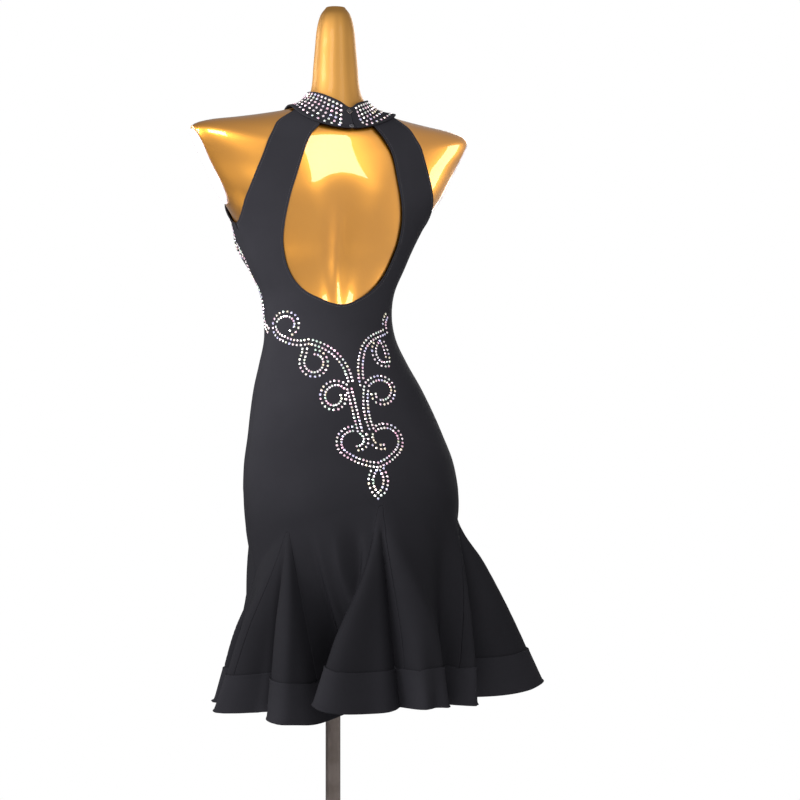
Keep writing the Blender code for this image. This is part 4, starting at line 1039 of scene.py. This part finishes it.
def even_steps(points, pitch):
    """Points at even lengths along a trail, near a pitch, and the directions of travel."""
    length = lengths_along(points)
    keep = np.concatenate([[True], np.diff(length) > 1e-9])
    points, length = points[keep], length[keep]
    count = max(1, round(length[-1] / pitch))
    at = np.linspace(0.0, length[-1], count + 1)
    even = np.stack([np.interp(at, length, points[:, n]) for n in range(3)], axis=1)
    travel = unit(np.gradient(even, axis=0)) if count > 1 else unit(np.diff(even, axis=0)[[0, 0]])
    return list(zip(even, travel))


class Skin:
    """The outside of the cloth, to lay stones and stitches on."""

    def __init__(self, sheet, rise):
        self.points, self.normals = sheet.points + sheet.normals * rise, sheet.normals
        self.faces = sheet.faces
        self.tree = BVHTree.FromPolygons(self.points.tolist(), self.faces.tolist())

    def from_picture(self, pixels):
        """Places on the skin under picture points. A point past the outline is left out."""
        hits = [self.tree.ray_cast(Vector(CAMERA_PLACE), Vector(picture_ray(*pixel)))
                for pixel in pixels]
        return np.array([tuple(hit[0]) for hit in hits if hit[0] is not None])

    def nearest(self, point):
        """The nearest place on the skin, and the smooth direction out of it."""
        place, _, face, _ = self.tree.find_nearest(Vector(point))
        corners = self.faces[face]
        near = 1.0 / (np.linalg.norm(self.points[corners] - np.array(place), axis=1) + 1e-5)
        return np.array(place), unit((self.normals[corners] * near[:, None]).sum(axis=0))


def stone_cluster(name, places, radius, look, chance):
    """Cut stones with flat backs, joined in one mesh."""
    vertices, polygons = [], []
    turns = [math.tau * n / STONE_SIDES for n in range(STONE_SIDES)]
    for place, normal in places:
        normal = Vector(normal)
        spin, size = chance.uniform(0.0, math.tau), radius * chance.uniform(*STONE_SIZES)
        lean = [chance.uniform(-STONE_LEAN, STONE_LEAN) for _ in range(2)]
        tilt = Vector((*lean, 1.0)).to_track_quat("Z", "Y")
        turn = normal.to_track_quat("Z", "Y")
        base = len(vertices)
        for height, share in STONE_RINGS:
            for angle in turns:
                local = Vector((math.cos(spin + angle) * share, math.sin(spin + angle) * share,
                                height)) * size
                vertices.append(Vector(place) + turn @ (tilt @ local) - normal * STONE_SINK)
        for ring in range(len(STONE_RINGS) - 1):
            low = base + ring * STONE_SIDES
            for a, b, c, d in ring_faces(low, low + STONE_SIDES, STONE_SIDES):
                polygons += [[a, b, d], [b, c, d]] if ring == STONE_FACET_RING else [[a, b, c, d]]
        polygons += [list(range(len(vertices) - STONE_SIDES, len(vertices))),
                     list(range(base, base + STONE_SIDES))[::-1]]
    return finish_piece(new_object(name, vertices, polygons, smooth=False), look)


def ornament_trails(skin):
    """The scrolls of the back, and the trails round both sides."""
    for parts in SCROLLS.values():
        yield skin.from_picture(np.concatenate([shape(*sizes) for shape, *sizes in parts]))
    for sign in (1.0, -1.0):
        for turns in SIDE_TRAILS.values():
            fine = np.linspace(0.0, len(turns) - 1.0, TRAIL_STEPS * len(turns))
            angle, level = (smooth_curve(range(len(turns)), values, fine)
                            for values in zip(*turns))
            yield cloth_point(level, sign * angle)


def make_ornament(skin, look, chance):
    """Two rows of stones along each trail, where there is room between those laid before."""
    found = []
    for trail in ornament_trails(skin):
        for middle, along in even_steps(trail, STONE_PITCH):
            across = unit(np.cross(skin.nearest(middle)[1], along))
            for side in (-0.5, 0.5):
                place, normal = skin.nearest(middle + across * STONE_ROWS_APART * side)
                if all(np.linalg.norm(place - other) > STONE_SPACING for other, _ in found):
                    found.append((place, normal))
    return stone_cluster("ornament_stones", found, STONE_RADIUS, look, chance)


def make_collar_stones(skin, look, chance):
    """Rows of stones round the collar, in straight columns that leave the closure bare."""
    angles = np.linspace(COLLAR_BARE[1], 360.0 + COLLAR_BARE[0], FINE_STEPS)
    length = lengths_along(collar_point(angles, 0.5))
    count = round(length[-1] / COLLAR_STONE_PITCH)
    columns = np.interp(np.linspace(0.0, length[-1], count + 1), length, angles)
    places = [skin.nearest(collar_point(angle, share))
              for angle in columns for share in COLLAR_STONE_SHARES]
    return stone_cluster("collar_stones", places, COLLAR_STONE_RADIUS, look, chance)


# --- closure and stitches ---------------------------------------------------------------------

STITCH_STEP = 0.0032
STITCH_LENGTH = 0.0024
STITCH_WIDTH = 0.00034
STITCH_RISE, STITCH_SINK = 0.00016, 0.00004
STITCH_TAPER = 0.12
STITCH_SECTION = ((-0.5, 0.0), (-0.3, 1.0), (0.3, 1.0), (0.5, 0.0))    # across and up
STITCH_INSET = 0.0035    # from an edge that is turned in
BAND_STITCH_INSET = 0.0028
COLLAR_STITCH_INSET = 0.0014


def make_closure(skin, dark, steel):
    """A square stone in a setting, and a small round button at the collar's foot."""
    made = []
    for name, profile, sides, place, look, slot, node in (
            ("collar_fastener_setting", FASTENER_SETTING, 4, FASTENER_PLACE, steel, "steel",
             "collar_button_upper"),
            ("collar_fastener_stone", FASTENER_STONE, 4, FASTENER_PLACE, dark, "black_button",
             None),
            ("collar_button_dome", BUTTON_DOME, BUTTON_SIDES, BUTTON_PLACE, dark, "black_button",
             "collar_button_lower")):
        item = turned(name, profile, sides)
        turn_to(item, *skin.nearest(cloth_point(*place)), "Z")
        made.append(finish_piece(item, look, node, slot))
    return made


def stitch_row(skin, edge, inset, side):
    """Places, directions of travel and normals of stitches beside an edge. side is 1 where the
    cloth lies to the left of travel, seen from outside."""
    found = []
    for place, along in even_steps(edge, STITCH_STEP)[1:-1]:
        left = unit(np.cross(skin.nearest(place)[1], along))
        spot, normal = skin.nearest(place + left * inset * side)
        found.append((spot, unit(along - normal * along.dot(normal)), normal))
    return found


def stitch_mesh(name, rows, look):
    """Short raised threads, one for each place."""
    vertices, polygons = [], []
    for spot, along, normal in rows:
        across, base = np.cross(normal, along), len(vertices)
        vertices += [spot + along * STITCH_LENGTH * end * (1.0 - STITCH_TAPER * rise)
                     + across * STITCH_WIDTH * side + normal * (STITCH_RISE * rise - STITCH_SINK)
                     for end in (-0.5, 0.5) for side, rise in STITCH_SECTION]
        polygons += ring_faces(base, base + 4, 4)
        polygons += [[base + 3, base + 2, base + 1, base], [base + n for n in range(4, 8)]]
    return finish_piece(new_object(name, vertices, polygons, smooth=False), look)


def highest_loop(edges, points):
    """The highest closed chain of these edges, as places."""
    after, loops = dict(edges), []
    while after:
        chain = [after.popitem()[1]]
        while chain[-1] in after:
            chain.append(after.pop(chain[-1]))
        loops.append(points[chain + chain[:1]])
    return max(loops, key=lambda loop: loop[:, 2].mean())


def make_stitches(sheet, skin, collar_skin, look):
    """Rows of stitches in the colour of the cloth along its turned-in edges, by the piece that
    they are sewn on."""
    opening = keyhole_levels(FINE_STEPS)
    armhole = np.linspace(UNDERARM_LEVEL, STRAP_TOP, FINE_STEPS)
    rows = []
    for sign in (1.0, -1.0):
        for level, angle, side in (
                (opening, keyhole_angle(opening, sign), sign),
                (armhole, sign * armhole_angle(armhole, "back"), -sign),
                (armhole, 180.0 - sign * armhole_angle(armhole, "front"), sign)):
            rows += stitch_row(skin, cloth_point(level, angle), STITCH_INSET, side)
    made = {"back_panel": stitch_mesh("edge_stitches", rows, look)}
    top = highest_loop(border_of(sheet.faces[sheet.bands]).tolist(), sheet.points)
    rows = stitch_row(Skin(sheet, WALL + SEAM_GAP + BAND_WALL), top, BAND_STITCH_INSET, 1.0)
    made["hem_band"] = stitch_mesh("band_stitches", rows, look)
    angles = np.linspace(COLLAR_SLIT_ANGLE + 1.0, COLLAR_SLIT_ANGLE + 359.0, FINE_STEPS)
    rows = [row for share, side in ((1.0, 1.0), (0.0, -1.0)) for row in
            stitch_row(collar_skin, collar_point(angles, share), COLLAR_STITCH_INSET, side)]
    made["collar"] = stitch_mesh("collar_stitches", rows, look)
    return made


# --- the dress --------------------------------------------------------------------------------

# The flat cuts: greatest width and length, and area without seam allowances
SHEETS = table("piece width length area held rests_on", (
    ("back_panel", 0.60, 0.89, 0.277, "stretched", "gold_torso"),
    ("front_panel", 0.62, 0.87, 0.292, "stretched", "gold_torso"),
    ("godet_side_right", 0.14, 0.180, 0.0123, "hung", "cloth_back_panel"),
    ("godet_back_right", 0.36, 0.265, 0.0478, "hung", "cloth_back_panel"),
    ("godet_back_centre", 0.21, 0.285, 0.0304, "hung", "cloth_back_panel"),
    ("godet_back_left", 0.26, 0.275, 0.0367, "hung", "cloth_back_panel"),
    ("godet_side_left", 0.125, 0.195, 0.0120, "hung", "cloth_back_panel"),
    ("godet_front_left", 0.150, 0.260, 0.0195, "hung", "cloth_front_panel"),
    ("godet_front_centre", 0.140, 0.270, 0.0185, "hung", "cloth_front_panel"),
    ("godet_front_right", 0.150, 0.260, 0.0194, "hung", "cloth_front_panel"),
    ("hem_band", 2.22, 0.058, 0.1286, "hung", "cloth_back_panel"),
    ("collar", 0.45, 0.058, 0.0182, "stretched", "gold_torso"),
))


def make_surface():
    """The fine cloth surface with its folds."""
    sheet, counts = Sheet(), cloth_counts()
    add_back(sheet, counts)
    add_front(sheet, counts)
    add_skirt(sheet, counts)
    sheet.weld()
    height = sheet.points[:, 2]
    sheet.smooth(SMOOTHING_ROUNDS, height < SMOOTHING_TOP)
    sheet.smooth(YOKE_ROUNDS, (height < SMOOTHING_TOP) & (height > YOKE_FOOT))
    sheet.find_normals()
    return sheet


def make_cloth(sheet, crepe, band_crepe):
    """The cut pieces, and the band on the outside of the hem."""
    faces_of = {piece: sheet.faces[sheet.owners == piece]
                for piece in dict.fromkeys(sheet.owners.tolist())}
    users = sum(np.bincount(np.unique(faces), minlength=len(sheet.points))
                for faces in faces_of.values())
    made = {piece: shell("cloth_" + piece, sheet, faces, np.flatnonzero(users > 1), 0.0, WALL,
                         LIFTS["cloth"]) for piece, faces in faces_of.items()}
    made["hem_band"] = shell("cloth_hem_band", sheet, sheet.faces[sheet.bands], [],
                             WALL + SEAM_GAP, BAND_WALL, LIFTS["hem_band"])
    for piece, item in made.items():
        finish_piece(item, band_crepe if piece == "hem_band" else crepe, piece, "black_crepe")
    return made


def collar_point(angles, shares):
    """Points on the collar's inside. The top edge falls towards the closure, and the foot laps
    over the ends of the straps."""
    turn = (angles + 180.0) % 360.0 - 180.0
    fall = COLLAR_DIP * np.exp(-((turn - COLLAR_SLIT_ANGLE) / COLLAR_DIP_SPREAD) ** 2)
    side = np.sin(np.radians(turn))
    fall = fall + COLLAR_TILT * (1.0 - side) + COLLAR_SIDE_FALL * side ** 4
    levels = (COLLAR_FOOT + (foot_rise(angles) - COLLAR_FOOT_LAP) * (1.0 - shares)
              + (COLLAR_TOP - COLLAR_FOOT) * shares - fall * shares)
    lap = COLLAR_LAP * np.clip(1.0 - shares / COLLAR_LAP_SHARE, 0.0, 1.0)
    lap = np.broadcast_to(lap, np.shape(levels))[..., None]
    return cloth_point(levels, angles) + figure_normal(levels, angles) * lap


def collar_surface():
    sheet = Sheet()
    start = COLLAR_SLIT_ANGLE + COLLAR_SLIT
    angles = np.linspace(start, start + 360.0 - COLLAR_SLIT, COLLAR_COLUMNS)[::-1]
    sheet.add_grid(collar_point(angles, np.linspace(0.0, 1.0, COLLAR_ROWS)[:, None]), "collar")
    sheet.weld()
    sheet.find_normals()
    return sheet


# --- form and stand ---------------------------------------------------------------------------

def tidy_normals(item, mesh_edit):
    """Turns all faces outwards and keeps the mesh's edits, with sharp edges where it bends."""
    bmesh.ops.recalc_face_normals(mesh_edit, faces=mesh_edit.faces[:])
    mesh_edit.to_mesh(item.data)
    mesh_edit.free()
    item.data.shade_smooth()
    item.data.set_sharp_from_angle(angle=math.radians(FORM_SHARP))


def form_mesh():
    """The torso with a rounded foot and a bore for the pole in its underside."""
    foot_top = FORM_BOTTOM + FORM_EDGE_RADIUS
    levels = np.concatenate([
        np.linspace(FORM_BOTTOM, foot_top, FOOT_ROWS),
        np.arange(foot_top + FORM_ROW, FORM_CROWN_FROM, FORM_ROW),
        FORM_TOP - (FORM_TOP - FORM_CROWN_FROM)
        * np.linspace(1.0, 0.0, CROWN_ROWS) ** CROWN_POWER])
    angles = 360.0 * np.arange(FORM_COLUMNS) / FORM_COLUMNS
    points = figure_point(levels[:, None], angles, "form_height")
    middle = np.stack([section(levels, "shift_x"), section(levels, "centre_y"), levels], axis=-1)
    flat = (points - middle[:, None, :]) * (1.0, 1.0, 0.0)
    rise = np.clip((levels - FORM_BOTTOM) / FORM_EDGE_RADIUS, 0.0, 1.0)
    inset = FORM_EDGE_RADIUS * (1.0 - np.sqrt(1.0 - (1.0 - rise) ** 2))
    points = points - unit(flat) * inset[:, None, None]
    turns, bore = np.radians(angles), POLE_RADIUS + POLE_FIT
    rings = [np.stack([bore * np.sin(turns), bore * np.cos(turns), np.full(FORM_COLUMNS, height)],
                      axis=1) for height in (FORM_BOTTOM, POLE_TOP + POLE_FIT)]
    crown = points[-1].mean(axis=0) + np.array([0.0, 0.0, CROWN_RISE])
    vertices = np.concatenate([points.reshape(-1, 3), [crown], *rings])
    count = len(levels) * FORM_COLUMNS
    polygons = [face for low in range(0, count - FORM_COLUMNS, FORM_COLUMNS)
                for face in ring_faces(low + FORM_COLUMNS, low, FORM_COLUMNS)]
    polygons += [[count, b, a] for a, b, _, _ in
                 ring_faces(count - FORM_COLUMNS, 0, FORM_COLUMNS)]
    foot, roof = count + 1, count + 1 + FORM_COLUMNS
    polygons += ring_faces(0, foot, FORM_COLUMNS) + ring_faces(foot, roof, FORM_COLUMNS)
    polygons.append(list(range(roof, roof + FORM_COLUMNS)))
    return new_object("gold_torso", vertices, polygons)


def make_form(gold, shaded_neck_gold, pearl):
    """The torso, cut flat at the shoulders, and the two arm plates."""
    form = form_mesh()
    mesh_edit = bmesh.new()
    mesh_edit.from_mesh(form.data)
    plates = []
    for sign, name in ((1.0, "arm_plate_left"), (-1.0, "arm_plate_right")):
        slope = (Vector(CUT_TOP) - Vector(CUT_FOOT)).normalized()
        normal = Vector((slope.y * sign, 0.0, -slope.x))
        face = cut_flat(mesh_edit, Vector((CUT_TOP[0] * sign, 0.0, CUT_TOP[1])), normal)
        plates.append((name, [vertex.co.copy() for vertex in face.verts], normal))
        bmesh.ops.bevel(mesh_edit, geom=list(face.edges), offset=CUT_ROUND, segments=3,
                        affect="EDGES", profile=0.5)
    tidy_normals(form, mesh_edit)
    finish_piece(form, gold, "dress_form", "gold_form")
    # The neck takes the darker gold, painted shade.
    form.data.materials.append(shaded_neck_gold)
    for face in form.data.polygons:
        face.material_index = int(face.center.z > NECK_SATIN_SHADE_LEVEL)
    for name, outline, normal in plates:
        finish_piece(make_arm_plate("finished_" + name, outline, normal), pearl, name,
                     "pearl_plate")


def cut_flat(mesh_edit, point, normal):
    """Cuts a shoulder by a plane, keeps the side behind it, and closes the cut."""
    shoulders = [face for face in mesh_edit.faces
                 if min(vertex.co.z for vertex in face.verts) > CUT_FLOOR]
    geometry = list({vertex for face in shoulders for vertex in face.verts})
    geometry += list({edge for face in shoulders for edge in face.edges}) + shoulders
    cut = bmesh.ops.bisect_plane(mesh_edit, geom=geometry, plane_co=point, plane_no=normal,
                                 dist=CUT_TOLERANCE, clear_outer=True)
    edges = [item for item in cut["geom_cut"] if isinstance(item, bmesh.types.BMEdge)]
    return bmesh.ops.contextual_create(mesh_edit, geom=edges)["faces"][0]


def make_arm_plate(name, outline, normal):
    """A thin plate with a rounded edge and a slightly crowned face, inside the cut's rim."""
    middle = sum(outline, Vector((0.0, 0.0, 0.0))) / len(outline)
    vertices, polygons, count = [], [], len(outline)
    for inset, rise in PLATE_RINGS:
        for point in outline:
            reach = (point - middle).length
            keep = (reach - PLATE_MARGIN - CUT_ROUND - inset / MILLI) / reach
            vertices.append(middle + (point - middle) * keep
                            + normal * (SEAM_GAP + PLATE_THICKNESS * rise))
    last = count * (len(PLATE_RINGS) - 1)
    for low in range(0, last, count):
        polygons += ring_faces(low, low + count, count)
    polygons.append(list(range(count))[::-1])
    vertices.append(middle + normal * (SEAM_GAP + PLATE_THICKNESS * PLATE_CROWN))
    polygons += [[a, b, last + count] for a, b, _, _ in ring_faces(last, 0, count)]
    plate = new_object(name, vertices, polygons)
    mesh_edit = bmesh.new()
    mesh_edit.from_mesh(plate.data)
    tidy_normals(plate, mesh_edit)
    return plate


def rounded_profile(corners, radius, steps=4):
    """A (radius, height) outline with its corners rounded, the first and last left as they are."""
    outline = [corners[0]]
    for before, corner, after in zip(corners, corners[1:], corners[2:]):
        corner, before, after = (Vector(item) for item in (corner, before, after))
        one, two = before - corner, after - corner
        reach = min(radius, one.length * CORNER_SHARE, two.length * CORNER_SHARE)
        start, end = corner + one.normalized() * reach, corner + two.normalized() * reach
        for t in (n / steps for n in range(steps + 1)):
            outline.append(tuple(start * (1.0 - t) ** 2 + corner * (2.0 * t * (1.0 - t))
                                 + end * t ** 2))
    return outline + [corners[-1]]


def turned(name, outline, sides):
    """A solid turned about +Z, listed from the bottom's middle, up the outside to the axis."""
    vertices, polygons, rings = [], [], []
    for radius, height in outline:
        count = sides if radius > 1e-6 else 1
        rings.append([len(vertices) + n % count for n in range(sides)])
        turns = [math.tau * n / sides for n in range(count)]
        vertices += [(radius * math.cos(turn), radius * math.sin(turn), height) for turn in turns]
    for low, high in zip(rings, rings[1:]):
        for n in range(sides):
            after = (n + 1) % sides
            polygons.append(list(dict.fromkeys((low[n], low[after], high[after], high[n]))))
    return new_object(name, vertices, polygons, TURNED_SHARP)


def make_stand(steel):
    """The pole, and the round base with its socket."""
    foot, bore = HUB_FLOOR + POLE_FIT, POLE_RADIUS + POLE_FIT
    pole = ((0.0, foot), (POLE_RADIUS, foot), (POLE_RADIUS, POLE_TOP), (0.0, POLE_TOP))
    base = ((0.0, 0.0), (BASE_RADIUS, 0.0), (BASE_RADIUS, BASE_THICKNESS),
            (HUB_RADIUS + HUB_FILLET, BASE_THICKNESS), (HUB_RADIUS, BASE_THICKNESS + HUB_FILLET),
            (HUB_RADIUS, HUB_HEIGHT), (bore, HUB_HEIGHT), (bore, HUB_FLOOR), (0.0, HUB_FLOOR))
    for name, corners, radius, sides, node in (
            ("steel_pole", pole, POLE_EDGE, POLE_SIDES, "stand_pole"),
            ("steel_base", base, BASE_EDGE, BASE_SIDES, "stand_base")):
        finish_piece(turned(name, rounded_profile(corners, radius), sides), steel, node, "steel")


# --- studio -----------------------------------------------------------------------------------

# Soft boxes, and what they point at
LIGHTS = table("name place aim width height power colour", (
    ("key_left", (3.1, 0.5, 1.9), (0.0, 0.0, 0.95), 1.2, 1.2, 104.0, (0.97, 0.97, 1.0)),
    ("softbox", (-0.70, 2.9, 2.36), (0.0, 0.0, 1.33), 0.9, 1.3, 22.0, (1.0, 1.0, 1.0)),
    ("over_left", (1.8, 2.3, 2.35), (0.0, 0.0, 1.3), 1.0, 0.9, 36.0, (1.0, 1.0, 1.0)),
    ("side_right", (-3.0, 0.9, 1.3), (0.0, 0.0, 1.1), 0.8, 1.6, 20.0, (1.0, 0.98, 0.95)),
    ("front_left", (1.8, -2.2, 1.6), (0.0, 0.0, 1.0), 0.8, 1.6, 40.0, (1.0, 1.0, 1.0)),
    ("front_right", (-2.0, -2.0, 1.8), (0.0, 0.0, 1.0), 1.2, 1.6, 30.0, (1.0, 1.0, 1.0)),
))
# Soft light of the room on matt faces, and what shines back from polished ones: the dim and
# the bright end of each, the bright end's direction and how its light gathers there
ROOM = table("kind dim bright turn gradient", (
    ("soft", 0.00, 4.8, 60.0, "QUADRATIC"),
    ("shine", 0.26, 0.90, -30.0, "LINEAR"),
))


def room_light(tree, room):
    """A background that is bright towards one side."""
    facing = add_node(tree, "Mapping", Vector=add_node(tree, "TexCoord").outputs["Generated"],
                      Rotation=(0.0, 0.0, -math.radians(90.0 - room.turn)),
                      Scale=(0.5, 0.5, 0.5), Location=(0.5, 0.0, 0.0))
    shade = add_node(tree, "TexGradient", ("gradient_type", room.gradient),
                     Vector=facing.outputs["Vector"])
    strength = span(tree, shade.outputs["Fac"], room.dim, room.bright)
    return add_node(tree, "Background", Strength=strength).outputs["Background"]


def mixed(tree, share, one, two):
    made = add_node(tree, "MixShader", Fac=share)
    tree.links.new(one, made.inputs[1])
    tree.links.new(two, made.inputs[2])
    return made.outputs["Shader"]


def make_studio():
    for light in LIGHTS:
        data = bpy.data.lights.new(light.name, "AREA")
        data.shape = "RECTANGLE"
        data.size, data.size_y = light.width, light.height
        data.energy, data.color = light.power, light.colour
        turn_to(link_object(light.name, data), light.place,
                Vector(light.aim) - Vector(light.place), "-Z")
    world = bpy.data.worlds.new("studio")
    world.use_nodes = True
    bpy.context.scene.world = world
    tree = world.node_tree
    seen = tree.nodes["Background"]
    fill(tree, seen, Color=(1.0, 1.0, 1.0), Strength=1.0)
    path = add_node(tree, "LightPath").outputs
    room = mixed(tree, path["Is Glossy Ray"], *(room_light(tree, row) for row in ROOM))
    fill(tree, tree.nodes["World Output"], Surface=mixed(tree, path["Is Camera Ray"], room,
                                                         seen.outputs["Background"]))
    world.cycles.sampling_method = "NONE"
    floor = turned("floor", ((0.0, FLOOR_BOTTOM), (FLOOR_RADIUS, FLOOR_BOTTOM),
                             (FLOOR_RADIUS, FLOOR_FACE), (0.0, FLOOR_FACE)), FLOOR_SIDES)
    floor.data.materials.append(finish("pale_floor"))
    bpy.context.scene.view_settings.view_transform = "Standard"


def main():
    crepe = crepe_material("black_crepe_cloth", CREPE_LIGHTNESS, SKIRT_SHADE_LIGHTNESS)
    sheet, collar = make_surface(), collar_surface()
    # The hem band's crepe is darker than the bodice's, partly as painted shade.
    cloth = make_cloth(sheet, crepe,
                       crepe_material("black_crepe_band", BAND_SHADE_LIGHTNESS, BAND_SHADE_LIGHTNESS))
    collar_shell = shell("cloth_collar", collar, collar.faces, [], 0.0, COLLAR_WALL,
                         LIFTS["collar"])
    cloth["collar"] = finish_piece(collar_shell, crepe, "collar", "black_crepe")
    skin, collar_skin = Skin(sheet, WALL), Skin(collar, COLLAR_WALL)
    crystal, chance = stone_material(), random.Random(RANDOM_SEED)
    trims = {piece: [] for piece in cloth}
    trims["back_panel"].append(make_ornament(skin, crystal, chance))
    trims["collar"].append(make_collar_stones(collar_skin, crystal, chance))
    steel = finish("brushed_steel")
    trims["collar"] += make_closure(collar_skin, finish("black_moulding"), steel)
    for piece, row in make_stitches(sheet, skin, collar_skin, finish("black_thread")).items():
        trims[piece].append(row)
    for row in SHEETS:
        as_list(trims[row.piece])
    make_form(finish("gold_plating"), finish("gold_satin"), finish("pearl_finish"))
    make_stand(steel)
    make_camera()
    make_studio()


main()
